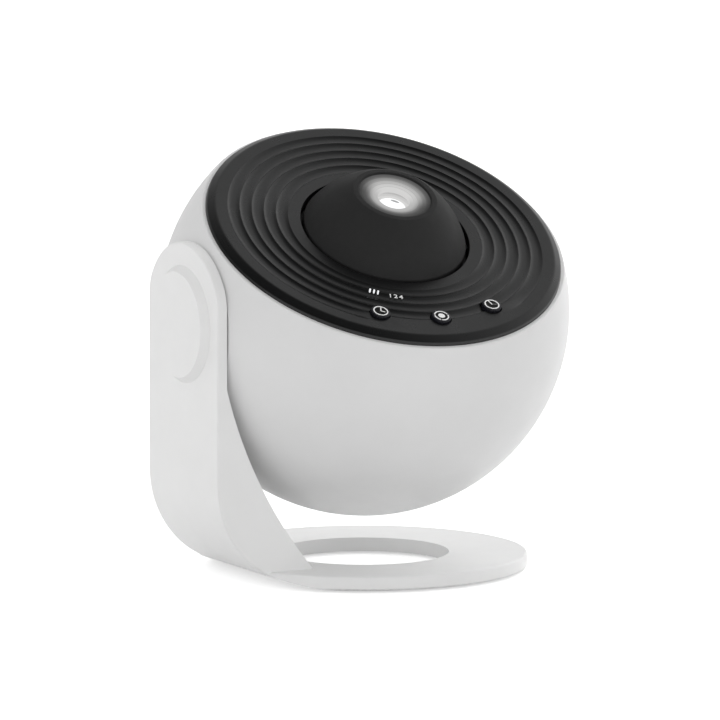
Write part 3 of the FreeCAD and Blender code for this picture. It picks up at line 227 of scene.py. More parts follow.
boardLook = {   # colours, the tracks' edges as parts of a cell, and their height in millimetres
    "meshScale": 420.0, "trackEdge": (0.03, 0.09), "trackHeight": -0.02, "gloss": (0.3, 0.42),
    "track": rgb(0.03, 0.16, 0.06), "lacquer": (rgb(0.012, 0.085, 0.035), rgb(0.016, 0.11, 0.045))}


def boardFinish():
    # Green lacquered board with copper tracks showing faintly under the lacquer.
    finish = Finish("greenBoard")
    tracks = finish.add("TexVoronoi", {"feature": "DISTANCE_TO_EDGE"}, {
        "Vector": finish.place(), "Scale": boardLook["meshScale"]})
    track = finish.band(tracks, *boardLook["trackEdge"])
    weave = finish.noise("weave")
    lacquer = finish.mixColour(weave, *boardLook["lacquer"])
    return finish.surface({
        "Base Color": finish.mixColour(track, boardLook["track"], lacquer),
        "Roughness": finish.vary(weave, *boardLook["gloss"]),
        "Normal": finish.bump(track, boardLook["trackHeight"] * mm)})


def clearLens():
    finish = Finish("lensGlass")
    return finish.surface({
        "Base Color": rgb(0.97, 0.985, 0.98),
        "Roughness": finish.vary(finish.noise("glassSmear"), 0.01, 0.05, "upper"),
        "IOR": 1.52,
        "Transmission Weight": 1.0})


# The glint is a painted reflection: a grey dash set into the lens's colour and emission.
lensGlint = {   # place and half axes in millimetres on the lens, and its turn in degrees
    "x": 2.15, "y": 2.35, "turn": -38.0, "long": 1.7, "wide": 0.8, "fade": (0.55, 1.25),
    "base": (rgb(0.15), rgb(0.08)), "lit": (rgb(1.0), rgb(0.93, 0.95, 0.97)), "dim": rgb(0.27, 0.275, 0.28)}


def litLens(glint):
    # The front lens with its lamp on: white, with one dim glint, a painted reflection in its colour and
    # emission.
    finish = Finish("litLens")
    smear = finish.noise("litSmear")
    across = finish.add("Mapping", {"vector_type": "TEXTURE"}, {
        "Vector": finish.place(), "Location": (glint["x"] * mm, glint["y"] * mm, 0),
        "Rotation": (0, 0, math.radians(glint["turn"]))})
    x, y = finish.axis(across, 0), finish.axis(across, 1)
    far = (x * x) / (glint["long"] * mm) ** 2 + (y * y) / (glint["wide"] * mm) ** 2
    # Mask of the painted reflection
    mask = finish.band(far, *glint["fade"], 1.0, 0.0)
    return finish.surface({
        "Base Color": finish.mixColour(mask, *glint["base"]),
        "Roughness": finish.vary(smear, 0.05, 0.12, "upper"),
        "Emission Color": finish.mixColour(mask, finish.mixColour(smear, *glint["lit"]), glint["dim"]),
        "Emission Strength": 1.0})


def litBars():
    finish = Finish("lightGuide")
    cloud = finish.noise("barCloud")
    return finish.surface({
        "Base Color": rgb(0.82, 0.83, 0.84),
        "Roughness": finish.vary(cloud, 0.3, 0.45),
        "Emission Color": finish.mixColour(cloud, rgb(0.80, 0.81, 0.83), rgb(0.62, 0.63, 0.65)),
        "Emission Strength": 0.55})


def whitePrint(name, colour, shade, glow):
    finish = Finish(name)
    cloud = finish.noise("printCloud")
    return finish.surface({
        "Base Color": finish.mixColour(cloud, colour, shade),
        "Roughness": finish.vary(cloud, 0.4, 0.55),
        "Emission Color": finish.mixColour(cloud, colour, shade),
        "Emission Strength": glow})


def filmSheet():
    finish = Finish("filmSheet")
    cloud = finish.noise("filmCloud")
    return finish.surface({
        "Base Color": finish.mixColour(cloud, rgb(0.012), rgb(0.02, 0.02, 0.026)),
        "Roughness": finish.vary(cloud, 0.12, 0.25)})


def rubber(name, colour, shade):
    finish = Finish(name)
    speck = finish.noise("rubberSpeck")
    return finish.surface({
        "Base Color": finish.mixColour(speck, colour, shade),
        "Roughness": finish.vary(speck, 0.7, 0.85),
        "Normal": finish.bump(speck, 0.03 * mm)})


# Painted lamp light on the well, in millimetres from the lens axis; near and far are its levels from the axis
# out to the edge
wellGlow = {
    "edge": 12.62, "edgeFade": 0.12, "above": (40.0, 42.0), "warm": rgb(1.0, 0.995, 0.985),
    "farWay": (0.55, 0.83), "sideFade": (-0.25, 0.75),
    # The line keys set the painted shade line at each step of the well.
    "mouth": 5.6, "pitch": 1.4, "stepShade": 0.22, "stepShadeAt": (0.78, 0.98), "stepShadeFrom": (6.2, 7.2),
    "near": [(0.0, 0.50), (0.437, 0.48), (0.571, 0.42), (0.651, 0.28), (0.69, 0.18), (0.754, 0.095),
             (0.817, 0.06), (0.952, 0.02), (1.0, 0.0)],
    "far": [(0.0, 0.64), (0.545, 0.62), (0.565, 0.57), (0.655, 0.54), (0.675, 0.46), (0.765, 0.40),
            (0.79, 0.27), (0.875, 0.20), (0.9, 0.10), (1.0, 0.075)]}


def wellLight(finish, glow, framed):
    # Painted light: the lamp's light on the well, given as emission, strongest near the lens and on the far
    # side, with a painted shade line at each step.
    x, y, z, radius = finish.lensCoords(framed)
    reach = radius / glow["edge"]
    side = (x * glow["farWay"][0] + y * glow["farWay"][1]) / (radius + 0.01)   # finite on the axis too
    far = finish.band(side, *glow["sideFade"])
    near, back = finish.ramp(reach, glow["near"]), finish.ramp(reach, glow["far"])
    # Painted shade: a darker line at each step's crease, on the far side.
    step = ((radius - glow["mouth"]) / glow["pitch"]).math("FRACT")
    creaseShade = finish.band(step, *glow["stepShadeAt"]) * finish.band(radius, *glow["stepShadeFrom"])
    stepShade = 1 - creaseShade * far * glow["stepShade"]
    inside = finish.band(radius, glow["edge"] - glow["edgeFade"], glow["edge"], 1.0, 0.0)
    level = (back * far + near * (1 - far)) * stepShade * (inside * finish.band(z, *glow["above"]))
    return finish.mixColour(level, rgb(0.0), glow["warm"])


def hoodPlastic(glow):
    # Satin black; the stepped well gets painted lamp light as emission.
    finish = Finish("hoodBlack")
    cloud, speck = finish.noise("cloud"), finish.noise("speck")
    return finish.surface({
        "Base Color": finish.mixColour(cloud, rgb(0.0245), rgb(0.021)),
        "Roughness": finish.vary(cloud * 0.6 + speck * 0.4, 0.58, 0.68, "wide"),
        "Specular IOR Level": 0.2,
        "Emission Color": wellLight(finish, glow, False),
        "Emission Strength": 1.0,
        "Normal": finish.bump(speck + cloud * 0.5, 0.010 * mm)})


def barrelPlastic(glow):
    # The lens barrel's matt black, with painted lamp light round the lens.
    finish = Finish("barrelBlack")
    cloud = finish.noise("barrelCloud")
    return finish.surface({
        "Base Color": finish.mixColour(cloud, rgb(0.022), rgb(0.015)),
        "Roughness": finish.vary(cloud, 0.5, 0.6),
        "Emission Color": wellLight(finish, glow, True),
        "Emission Strength": 1.0})


keyLook = {   # the inlay's radius and lowest height in millimetres, and the cap's colours
    "inlay": 2.3, "inlayFade": 0.12, "above": (0.5, 0.6), "window": rgb(0.001),
    "cap": (rgb(0.011, 0.011, 0.015), rgb(0.008, 0.008, 0.011)), "gloss": (0.34, 0.6)}


def keyPlastic(look):
    # Gloss black cap with a deeper black window under its mark.
    finish = Finish("keyBlack")
    speck = finish.noise("keySpeck")
    x, y, z = (finish.axis(finish.place(), i) / mm for i in range(3))
    radius = (x * x + y * y).math("SQRT")
    window = finish.band(radius, look["inlay"], look["inlay"] + look["inlayFade"], 1.0, 0.0)
    window = window * finish.band(z, *look["above"])
    return finish.surface({
        "Base Color": finish.mixColour(window, finish.mixColour(speck, *look["cap"]), look["window"]),
        "Roughness": finish.band(window, 0.0, 1.0, *look["gloss"]),
        "Specular IOR Level": 0.3,
        "Normal": finish.bump(speck, 0.003 * mm)})


finishes = {
    "stand_white": mouldedPlastic("standWhite", rgb(0.864, 0.864, 0.861), rgb(0.84, 0.84, 0.837),
                                  0.42, 0.006),
    "ball_white": mouldedPlastic("ballWhite", rgb(0.776), rgb(0.752), 0.40, 0.005),
    "panel_black": mouldedPlastic("panelBlack", rgb(0.0060, 0.0062, 0.0064), rgb(0.0042, 0.0043, 0.0045),
                                  0.31, 0.008, specular=0.42),
    "hood_black": hoodPlastic(wellGlow),
    "key_black": keyPlastic(keyLook),
    "black_inner": mouldedPlastic("innerBlack", rgb(0.022), rgb(0.015), 0.55, 0.02),
    "white_inner": mouldedPlastic("innerWhite", rgb(0.60, 0.60, 0.585), rgb(0.56, 0.56, 0.545), 0.5, 0.02),
    "rubber": rubber("softRubber", rgb(0.05), rgb(0.035)),
    "steel": metal("brightSteel", rgb(0.56, 0.57, 0.58), rgb(0.46, 0.47, 0.48), 0.3),
    "brass": metal("turnedBrass", rgb(0.70, 0.53, 0.27), rgb(0.58, 0.43, 0.2), 0.28),
    "heat_sink_metal": metal("castAluminium", rgb(0.50, 0.51, 0.52), rgb(0.40, 0.41, 0.42), 0.45, 500.0),
    "board": boardFinish(),
    "chip": mouldedPlastic("chipBlack", rgb(0.018), rgb(0.012), 0.5, 0.01),
    "led_white": mouldedPlastic("ledWhite", rgb(0.85, 0.85, 0.78), rgb(0.78, 0.77, 0.66), 0.3, 0.004),
    "lens_glass": clearLens(),
    "light_guide": litBars(),
    "film": filmSheet(),
    "wire_sleeve": mouldedPlastic("wireSleeve", rgb(0.30, 0.03, 0.03), rgb(0.22, 0.02, 0.02), 0.4, 0.01),
}
frontLensFinish = litLens(lensGlint)
barrelFinish = barrelPlastic(wellGlow)
markPrint = whitePrint("markPrint", rgb(0.86), rgb(0.72, 0.72, 0.71), 0.15)
dimPrint = whitePrint("dimPrint", rgb(0.16), rgb(0.12), 0.0)


def dress(piece, finish):
    piece.data.materials.clear()
    piece.data.materials.append(finish)


for node, piece in frame["nodes"].items():
    slotName = piece.data.materials[0].name.split(".")[0]
    dress(piece, barrelFinish if node == "lens_barrel" else finishes[slotName])
print("finishes made:", len(finishes))


# Mesh helpers

def makePiece(name, mesh, body, place, finish, smooth):
    # smooth is the angle in degrees above which an edge stays sharp.
    piece = bpy.data.objects.new(name, mesh)
    scene.collection.objects.link(piece)
    piece.matrix_world = place
    dress(piece, finish)
    for face in mesh.polygons:
        face.use_smooth = True
    mesh.set_sharp_from_angle(angle=math.radians(smooth))
    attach(piece, body)
    return piece


def meshFrom(name, shape):
    mesh = bpy.data.meshes.new(name)
    bmesh.ops.recalc_face_normals(shape, faces=shape.faces)
    shape.to_mesh(mesh)
    shape.free()
    return mesh


def circlePoint(radius, angle, height):
    # From millimetres about the lens axis to metres; the angle starts at the keys' side.
    return (radius * mm * math.sin(angle), -radius * mm * math.cos(angle), height * mm)


def spinMesh(name, outline, segments=256):
    # Turns a closed outline of (radius, height) points in millimetres about z.
    onAxis = 1e-6
    shape = bmesh.new()
    rings = []
    for radius, height in outline:
        count = segments if radius > onAxis else 1
        turns = [2 * math.pi * i / count for i in range(count)]
        rings.append([shape.verts.new(circlePoint(radius, turn, height)) for turn in turns])
    for first, second in zip(rings, rings[1:] + rings[:1]):
        if len(first) == 1 and len(second) == 1:
            continue
        for i in range(segments):
            spots = ((first, i), (first, i + 1), (second, i + 1), (second, i))
            corners = [ring[k % len(ring)] for ring, k in spots]
            shape.faces.new([v for k, v in enumerate(corners) if v not in corners[:k]])
    return meshFrom(name, shape)


def skin(shape, rings):
    # Joins a row of equal rings of corners into a closed tube.
    count = len(rings[0])
    for first, second in zip(rings, rings[1:]):
        for i in range(count):
            j = (i + 1) % count
            shape.faces.new((first[i], first[j], second[j], second[i]))
    shape.faces.new(rings[0][::-1])
    shape.faces.new(rings[-1])


def prism(shape, rim, low, high):
    # A flat piece with the outline rim, all in millimetres.
    skin(shape, [[shape.verts.new((x * mm, y * mm, z * mm)) for x, y in rim] for z in (low, high)])


def towards(angle, reach):
    # The point at this angle in degrees from the keys' side.
    turn = math.radians(angle)
    return reach * math.sin(turn), -reach * math.cos(turn)


def rounded(points, steps=4):
    # Rounds the corners of an open outline whose points give a reach as a third number.
    roomLeft, least = 0.49, 1e-4
    result = [tuple(points[0][:2])]
    for before, here, after in zip(points, points[1:], points[2:]):
        reach = here[2] if len(here) > 2 else 0
        a, b, c = Vector(before[:2]), Vector(here[:2]), Vector(after[:2])
        reach = min(reach, (a - b).length * roomLeft, (c - b).length * roomLeft)
        if reach < least:
            result.append(tuple(b))
            continue
        start, end = b + (a - b).normalized() * reach, b + (c - b).normalized() * reach
        for i in range(steps + 1):
            t = i / steps
            result.append(tuple(start * (1 - t) ** 2 + b * 2 * t * (1 - t) + end * t ** 2))
    result.append(tuple(points[-1][:2]))
    return result


def arcThrough(start, end, swell, steps=24):
    # Points of a bow from start to end that stands out sideways by swell.
    a, b = Vector(start), Vector(end)
    way = b - a
    side = Vector((way.y, -way.x)).normalized()
    radius = (way.length_squared / 4 + swell ** 2) / (2 * swell)
    middle = (a + b) / 2 + side * (swell - radius)
    first = math.atan2(a.y - middle.y, a.x - middle.x)
    last = math.atan2(b.y - middle.y, b.x - middle.x)
    turn = (last - first + math.pi) % (2 * math.pi) - math.pi
    angles = [first + turn * i / steps for i in range(steps + 1)]
    return [(middle.x + radius * math.cos(angle), middle.y + radius * math.sin(angle)) for angle in angles]


def cutWith(piece, mesh):
    # Cuts a tool's mesh, which is in the piece's own axes, out of the piece.
    tool = bpy.data.objects.new(mesh.name, mesh)
    scene.collection.objects.link(tool)
    tool.matrix_world = piece.matrix_world
    cut = piece.modifiers.new("holes", "BOOLEAN")
    cut.operation, cut.solver, cut.object = "DIFFERENCE", "EXACT", tool
    bpy.context.view_layer.update()
    piece.data = bpy.data.meshes.new_from_object(piece.evaluated_get(bpy.context.evaluated_depsgraph_get()))
    piece.modifiers.clear()
    bpy.data.objects.remove(tool)


def frameZ(node, which):
    # Lowest (0) or highest (1) point of a node along the lens axis, in millimetres.
    heights = [(lensPlace.inverted() @ v.co).z / mm for v in frame["nodes"][node].data.vertices]
    return max(heights) if which else min(heights)


# Face panel. Sizes are millimetres from the lens axis, and heights run along it from the ball's centre.

panel = {
    "rim": 61.803, "edge": 59.1, "wall": 1.35, "lean": 0.3, "seam": 30.3, "thick": 2.8, "bore": 29.4,
    "chamfer": 1.0, "edgeRound": 0.9, "sideRound": 0.45, "boreRound": 0.35,
    "firstCrest": 54.8, "pitch": 4.21, "depth": 0.62, "bow": 3.0, "grooves": 5, "grooveSteps": 16,
    "landRadii": (31.0, 32.2), "rimRadii": (55.6, 57.0), "segments": 720, "sharp": 28.0,
    "flatEnd": 42.0, "flatFade": 17.0,
    "keyRing": 49.703, "keyHole": 3.75, "holeReach": (-1.0, 4.0), "keys": (-26.5, -1.6, 23.3)}
panelTop = panel["seam"] + panel["thick"]


def grooveDepth(radius, angle):
    # Flat-bottomed rings with steep sides at the crests. The outermost one fades away round the keys.
    inward = panel["firstCrest"] - radius
    if inward < 0 or inward > panel["pitch"] * panel["grooves"]:
        return 0.0
    ring, along = divmod(inward, panel["pitch"])
    offset = abs(2 * along / panel["pitch"] - 1)
    depth = panel["depth"] * (1 - offset ** panel["bow"])
    if ring == 0:
        away = (abs(angle) - panel["flatEnd"] + panel["flatFade"]) / panel["flatFade"]
        away = min(max(away, 0), 1)
        depth *= away * away * (3 - 2 * away)
    return depth


def crownRadii():
    # Radii of the top, from the bore out to the chamfer, closest together at the crests.
    steps = panel["grooveSteps"]
    inner = panel["firstCrest"] - panel["pitch"] * panel["grooves"]
    radii = [panel["bore"] + panel["boreRound"], *panel["landRadii"]]
    for ring in range(panel["grooves"]):
        base = inner + ring * panel["pitch"]
        radii += [base + panel["pitch"] * (1 - math.cos(math.pi * i / steps)) / 2 for i in range(steps)]
    return radii + [panel["firstCrest"], *panel["rimRadii"], panel["edge"] - panel["chamfer"]]


def panelOutline():
    # A closed outline: up the bore, out over the top and down the outer side.
    outside = rounded([
        (panel["edge"] - panel["chamfer"], panelTop), (panel["edge"], panelTop, panel["edgeRound"]),
        (panel["rim"] - panel["lean"], panel["seam"] + panel["wall"], panel["sideRound"]),
        (panel["rim"], panel["seam"])], 6)
    inside = rounded([
        (panel["bore"], panel["seam"]), (panel["bore"], panelTop, panel["boreRound"]),
        (panel["bore"] + panel["boreRound"], panelTop)])
    return inside[:-1] + [(radius, panelTop) for radius in crownRadii()] + outside[1:]


def panelMesh():
    segments = panel["segments"]
    shape = bmesh.new()
    rings = []
    for radius, height in panelOutline():
        ring = []
        for i in range(segments):
            angle = 2 * math.pi * i / segments
            degrees = (math.degrees(angle) + 180) % 360 - 180
            dip = grooveDepth(radius, degrees) if height == panelTop else 0
            ring.append(shape.verts.new(circlePoint(radius, angle, height - dip)))
        rings.append(ring)
    for first, second in zip(rings, rings[1:] + rings[:1]):
        for i in range(segments):
            j = (i + 1) % segments
            shape.faces.new((first[i], second[i], second[j], first[j]))
    return meshFrom("facePanel", shape)


def holesMesh(segments=64):
    # Round cutters for the keys' holes, made as one tool.
    radius, (low, high) = panel["keyHole"], (panel["seam"] + reach for reach in panel["holeReach"])
    shape = bmesh.new()
    turns = [2 * math.pi * i / segments for i in range(segments)]
    for x, y in keySpots:
        prism(shape, [(x + radius * math.cos(t), y + radius * math.sin(t)) for t in turns], low, high)
    return meshFrom("holeTool", shape)


keySpots = [towards(angle, panel["keyRing"]) for angle in panel["keys"]]
facePanel = makePiece("facePanel", panelMesh(), "ball", lensPlace, finishes["panel_black"],
                      panel["sharp"])
cutWith(facePanel, holesMesh())
facePanel.data.set_sharp_from_angle(angle=math.radians(panel["sharp"]))
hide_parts("face_panel")
print("face panel made")


# Lens hood with its stepped well, and the lit lens in it

hood = {
    "base": 28.1, "rim": 14.6, "seat": 33.1, "top": 48.5, "swell": 1.6, "lip": 1.85, "lipRise": 0.12,
    "well": 12.6, "wellDrop": 0.7, "steps": 5, "fall": 0.05, "drop": 0.21, "mouth": 5.6, "floor": 1.2,
    "seatRound": 0.2, "rimRound": 0.22, "lipRound": 0.12, "stepRound": 0.12, "sharp": 30.0,
    "shell": 2.6, "shoulder": 1.5, "foot": 28.3, "skirt": 26.35, "wall": 2.0, "skirtFoot": 21.0,
    "tubeIn": 9.6, "tubeOut": 12.0, "root": 0.6,
    "slotHalf": 1.5, "slotReach": 71.0, "slotRise": -2.0 / 60.0,   # degrees, and millimetres per degree
    "slotSides": (90, 270), "slotSpare": (1, 0.5)}


def wellPoints():
    # Nearly flat steps from the well's edge down to the mouth over the lens.
    radius, height, reach = hood["well"], hood["top"] - hood["wellDrop"], hood["stepRound"]
    pitch = (hood["well"] - hood["mouth"]) / hood["steps"]
    points = [(radius, height, reach)]
    for _ in range(hood["steps"]):
        radius, height = radius - pitch, height - hood["fall"]
        points.append((radius, height, reach))
        height -= hood["drop"]
        points.append((radius, height, reach))
    return points


def hoodInside(mouth, under):
    # From the mouth's underside round the focus tube and the shell to the skirt's outside.
    tubeFoot, root = frameZ("lens_hood", 0), under - hood["shoulder"]
    skirtIn = hood["skirt"] - hood["wall"]
    tube = [(hood["tubeIn"], under), (hood["tubeIn"], tubeFoot),
            (hood["tubeOut"], tubeFoot), (hood["tubeOut"], root)]
    shell = [(hood["tubeOut"] + hood["root"], root), (hood["base"] - hood["shell"], hood["seat"])]
    skirt = [(skirtIn, hood["foot"]), (skirtIn, hood["skirtFoot"]), (hood["skirt"], hood["skirtFoot"]),
             (hood["skirt"], hood["foot"])]
    return [(mouth, under)] + tube + shell + skirt


def hoodMesh():
    flank = arcThrough((hood["base"], hood["seat"]), (hood["rim"], hood["top"]), hood["swell"])
    lip = (hood["rim"] - hood["lip"], hood["top"] + hood["lipRise"], hood["lipRound"])
    outline = [(hood["base"], hood["foot"]), (hood["base"], hood["seat"], hood["seatRound"])] + flank[1:-1]
    outside = rounded(outline + [flank[-1] + (hood["rimRound"],), lip] + wellPoints())
    mouth, low = outside[-1]
    return spinMesh("lensHood", outside + hoodInside(mouth, low - hood["floor"]))


def slotMesh(side, steps=48):
    # Cutter for a helical slot of the focus tube, which a guide pin of the lens barrel runs in.
    middle = (frameZ("guide_pins", 0) + frameZ("guide_pins", 1)) / 2
    near, far = hood["tubeIn"] - hood["slotSpare"][0], hood["tubeOut"] + hood["slotSpare"][1]
    half = hood["slotHalf"]
    shape = bmesh.new()
    rings = []
    for i in range(steps + 1):
        turn = hood["slotReach"] * (2 * i / steps - 1)
        angle, z = math.radians(side + turn), middle + hood["slotRise"] * turn
        corners = ((near, z - half), (far, z - half), (far, z + half), (near, z + half))
        rings.append([shape.verts.new(circlePoint(radius, angle, height)) for radius, height in corners])
    skin(shape, rings)
    return meshFrom("slotTool", shape)


lensHood = makePiece("lensHood", hoodMesh(), "focus_ring", lensPlace, finishes["hood_black"],
                     hood["sharp"])
for side in hood["slotSides"]:
    cutWith(lensHood, slotMesh(side))
lensHood.data.set_sharp_from_angle(angle=math.radians(hood["sharp"]))
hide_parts("lens_hood")


lensForm = {"radius": 4.78, "edgeDrop": 0.6, "sag": 0.16, "domeSteps": 12, "segments": 96, "sharp": 35.0}


def lensMesh():
    # A flat-backed lens with a shallow dome.
    low, high = (frameZ("front_lens", i) for i in (0, 1))
    radius, edge = lensForm["radius"], high - lensForm["edgeDrop"]
    dome = arcThrough((radius, edge), (0.0, high), lensForm["sag"], lensForm["domeSteps"])
    return spinMesh("frontLens", [(0.0, low), (radius, low), (radius, edge)] + dome[1:], lensForm["segments"])


frontLens = makePiece("frontLens", lensMesh(), "lens_carriage", lensPlace, frontLensFinish,
                      lensForm["sharp"])
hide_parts("front_lens")
print("lens hood and front lens made")


# Keys and their marks

keys = {   # millimetres; handLine is a part of markLine
    "radius": 3.42, "top": 34.1, "edge": 0.45, "capRound": 1.2, "flangeRadius": 5.0, "flange": 1.0,
    "stemRadius": 1.5, "stemFoot": 27.4, "segments": 96, "sharp": 35.0,
    "markRadius": 2.6, "markLine": 0.43, "handLine": 0.9, "markThick": 0.03, "markSunk": 0.01,
    "arcSteps": 24, "dotSteps": 24, "markSharp": 30.0}


def keyMesh(name):
    # Height zero is the panel's top.
    top, seam, foot = keys["top"] - panelTop, panel["seam"] - panelTop, keys["stemFoot"] - panelTop
    stem, flange, flangeFoot = keys["stemRadius"], keys["flangeRadius"], seam - keys["flange"]
    outline = [(0.0, foot), (stem, foot), (stem, flangeFoot), (flange, flangeFoot), (flange, seam),
               (keys["radius"], seam)]
    cap = rounded([(keys["radius"], seam), (keys["radius"], top, keys["edge"]),
                   (keys["radius"] - keys["capRound"], top)], 6)
    return spinMesh(name, outline + cap[1:] + [(0.0, top)], keys["segments"])


def stroke(shape, start, end, width, low, high, steps=8):
    # A flat bar with round ends, from start to end in millimetres.
    a, b = Vector(start), Vector(end)
    along = math.atan2((b - a).y, (b - a).x)
    rim = []
    for middle, turn in ((b, -math.pi / 2), (a, math.pi / 2)):
        for i in range(steps + 1):
            t = along + turn + math.pi * i / steps
            rim.append((middle.x + width / 2 * math.cos(t), middle.y + width / 2 * math.sin(t)))
    prism(shape, rim, low, high)


def ringArc(shape, outer, inner, start, end, low, high, steps):
    # Part of a flat ring, angles in degrees from the keys' side.
    turns = [start + (end - start) * i / steps for i in range(steps + 1)]
    rim = [towards(turn, outer) for turn in turns] + [towards(turn, inner) for turn in reversed(turns)]
    prism(shape, rim, low, high)


def markMesh(name, mark):
    # The printed mark, a little sunk in the cap; height zero is the panel's top.
    shape = bmesh.new()
    low = keys["top"] - panel["seam"] - panel["thick"] - keys["markSunk"]
    high = low + keys["markSunk"] + keys["markThick"]
    for start, end in mark["arcs"]:
        ringArc(shape, keys["markRadius"], keys["markRadius"] - keys["markLine"], start, end, low, high,
                keys["arcSteps"])
    for start, end in mark["strokes"]:
        stroke(shape, start, end, keys["markLine"] * keys["handLine"], low, high)
    if mark["dot"]:
        turns = [360 / keys["dotSteps"] * i for i in range(keys["dotSteps"])]
        prism(shape, [towards(turn, mark["dot"]) for turn in turns], low, high)
    return meshFrom(name, shape)


wholeRing = [(90 * i, 90 * i + 90) for i in range(4)]
marks = {
    "timer": {"arcs": wholeRing, "dot": 0.0,
              "strokes": [((0, 0), towards(155, 2.3)), ((0, 0), towards(56, 1.4))]},
    "light": {"arcs": [(-101, -30), (-22, 95), (103, 249)], "dot": 1.2, "strokes": []},
    "power": {"arcs": wholeRing, "dot": 0.0, "strokes": [((0, 0), towards(-167, 2.3))]}}
dimStroke = {"from": (0.35, 0), "to": towards(83, 1.5), "low": 0.99, "high": 1.025}   # on the power key


def makeKey(kind, spot):
    x, y = spot
    place = lensPlace @ Matrix.Translation((x * mm, y * mm, panelTop * mm))
    cap = makePiece(kind + "Key", keyMesh(kind + "Key"), kind + "_button", place, finishes["key_black"],
                    keys["sharp"])
    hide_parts(kind + "_key")
    makePiece(kind + "Mark", markMesh(kind + "Mark", marks[kind]), kind + "_button", place, markPrint,
              keys["markSharp"])
    return place


def makeDimStroke(place):
    shape = bmesh.new()
    stroke(shape, dimStroke["from"], dimStroke["to"], keys["markLine"], dimStroke["low"], dimStroke["high"])
    makePiece("powerShade", meshFrom("powerShade", shape), "power_button", place, dimPrint,
              keys["markSharp"])


keyPlaces = {kind: makeKey(kind, spot) for kind, spot in zip(marks, keySpots)}
makeDimStroke(keyPlaces["power"])
print("keys made")


# Indicator bars and the numbers beside them

bars = {
    "ring": 37.4, "angle": -30.4, "count": 3, "pitch": 1.4, "width": 0.58, "length": 2.05,
    "foot": 26.8, "top": 33.16, "sharp": 35.0}
numbers = {
    "text": "1 2 4", "ring": 38.2, "angle": -19.0, "size": 2.9, "spacing": 0.86,
    "thick": 0.04, "bold": 0.03, "rise": 0.02, "sharp": 30.0}


def barsMesh():
    shape = bmesh.new()
    half = (bars["length"] - bars["width"]) / 2
    near, far = -bars["ring"] - half, -bars["ring"] + half
    for i in range(bars["count"]):
        x = (i - (bars["count"] - 1) / 2) * bars["pitch"]
        stroke(shape, (x, near), (x, far), bars["width"], bars["foot"], bars["top"])
    return meshFrom("indicatorBars", shape)


barPlace = lensPlace @ Matrix.Rotation(math.radians(bars["angle"]), 4, "Z")
indicatorBars = makePiece("indicatorBars", barsMesh(), "ball", barPlace, finishes["light_guide"],
                          bars["sharp"])
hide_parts("indicator_bars")


def makeNumbers():
    curve = bpy.data.curves.new("timerNumbers", "FONT")
    curve.body, curve.size = numbers["text"], numbers["size"] * mm
    curve.align_x = curve.align_y = "CENTER"
    curve.extrude, curve.offset = numbers["thick"] * mm / 2, numbers["bold"] * mm
    curve.space_character = numbers["spacing"]
    holder = bpy.data.objects.new("timerNumbers", curve)
    scene.collection.objects.link(holder)
    bpy.context.view_layer.update()
    mesh = bpy.data.meshes.new_from_object(holder.evaluated_get(bpy.context.evaluated_depsgraph_get()))
    bpy.data.objects.remove(holder)
    x, y = towards(numbers["angle"], numbers["ring"])
    place = lensPlace @ Matrix.Translation((x * mm, y * mm, (panelTop + numbers["rise"]) * mm))
    turn = Matrix.Rotation(math.radians(numbers["angle"]), 4, "Z")
    makePiece("timerNumbers", mesh, "ball", place @ turn, markPrint, numbers["sharp"])


makeNumbers()
print("indicator made")


# Stage: pale floor, white background, soft lamps

stage = {
    "floorSize": 6.0, "floorCells": 8, "floorDrop": 0.0002, "floor": 0.84, "floorMottle": 0.02, "lift": 0.56,
    "sky": 0.34, "windowWay": (0.791, 0.294, -0.182), "windowFade": (-0.5, 0.85), "dimmest": 0.07,
    "spread": 60.0}
lamps = {   # where each lamp shines from, and how strongly
    "leftFrontLamp": {"from": (-0.8, -0.5, 0.35), "strength": 0.66},
    "frontLamp": {"from": (-0.1, -1.0, 0.30), "strength": 0.53},
    "rightFrontLamp": {"from": (0.8, -0.6, 0.30), "strength": 0.46},
    "windowLamp": {"from": (0.75, 0.50, 0.45), "strength": 2.05},
    "leftBackLamp": {"from": (-0.7, 0.6, 0.50), "strength": 0.78}}


def seenDirectly(finish):
    # One for rays from the camera and for mirror and glass rays.
    mask = finish.add("LightPath", output="Is Camera Ray")
    for ray in ("Is Glossy Ray", "Is Transmission Ray"):
        mask = mask.math("MAXIMUM", finish.add("LightPath", output=ray))
    return mask


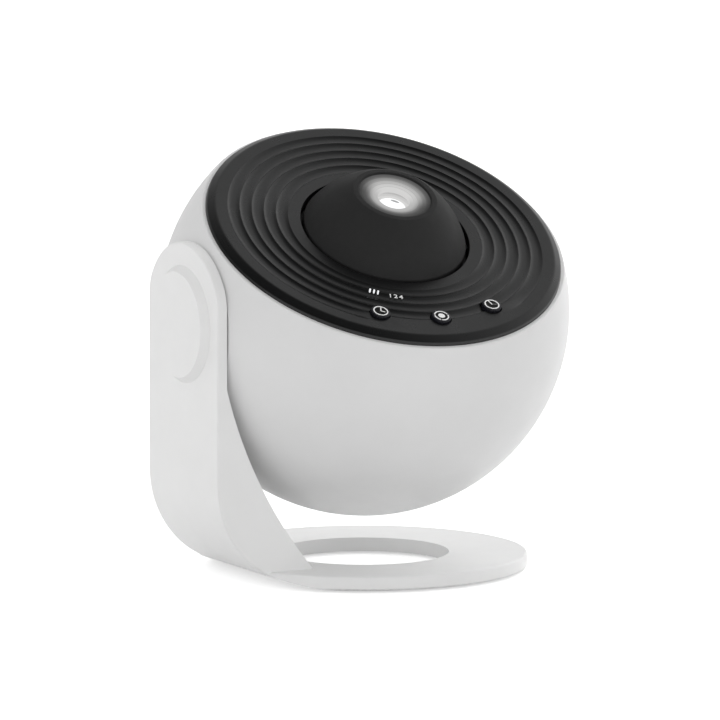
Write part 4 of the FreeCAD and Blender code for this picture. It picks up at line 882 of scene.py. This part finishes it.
def makeFloor():
    shape = bmesh.new()
    cells = stage["floorCells"]
    bmesh.ops.create_grid(shape, x_segments=cells, y_segments=cells, size=stage["floorSize"] / 2)
    floor = bpy.data.objects.new("floor", meshFrom("floor", shape))
    scene.collection.objects.link(floor)
    floor.location.z = -stage["floorDrop"]
    finish = Finish("paleFloor")
    cloud = finish.noise("floorCloud")
    colour, shade = rgb(stage["floor"]), rgb(stage["floor"] - stage["floorMottle"])
    floor.data.materials.append(finish.surface({
        "Base Color": finish.mixColour(cloud, colour, shade),
        "Roughness": finish.vary(cloud, 0.6, 0.7),
        "Specular IOR Level": 0.2,
        "Emission Color": finish.mixColour(seenDirectly(finish), rgb(0.0), rgb(stage["lift"])),
        "Emission Strength": 1.0}))


class Studio(Finish):
    # The world's shader, made with the same methods as a finish.
    def __init__(self, name):
        self.material = bpy.data.worlds.new(name)
        self.material.use_nodes = True
        self.tree = self.material.node_tree
        self.tree.nodes.clear()


def makeWorld():
    # White to the camera; reflections run from dim to a bright window side; soft light all round.
    studio = Studio("studio")
    way = studio.place("Generated")
    x, y, z = (studio.axis(way, i) for i in range(3))
    across, along, upward = stage["windowWay"]
    facing = x * across + y * along + z * upward
    reflected = studio.band(facing, *stage["windowFade"], stage["dimmest"], 1.0)
    seen = studio.add("LightPath", output="Is Camera Ray")
    glossy = studio.add("LightPath", output="Is Glossy Ray")
    clear = studio.add("LightPath", output="Is Transmission Ray")
    white = seen.math("MAXIMUM", clear)
    level = white + (1 - white) * (glossy * reflected + (1 - glossy) * stage["sky"])
    colour = studio.mixColour(level, rgb(0.0), rgb(1.0))
    background = studio.add("Background", {}, {"Color": colour, "Strength": 1.0})
    studio.add("OutputWorld", {}, {"Surface": background})
    scene.world = studio.material


def lamp(name, look):
    data = bpy.data.lights.new(name, "SUN")
    data.energy, data.angle = look["strength"], math.radians(stage["spread"])
    holder = bpy.data.objects.new(name, data)
    scene.collection.objects.link(holder)
    holder.rotation_euler = Vector(look["from"]).to_track_quat("Z", "Y").to_euler()
    holder.visible_glossy = False   # the world gives the reflections


makeFloor()
makeWorld()
for name, look in lamps.items():
    lamp(name, look)
print("stage made")
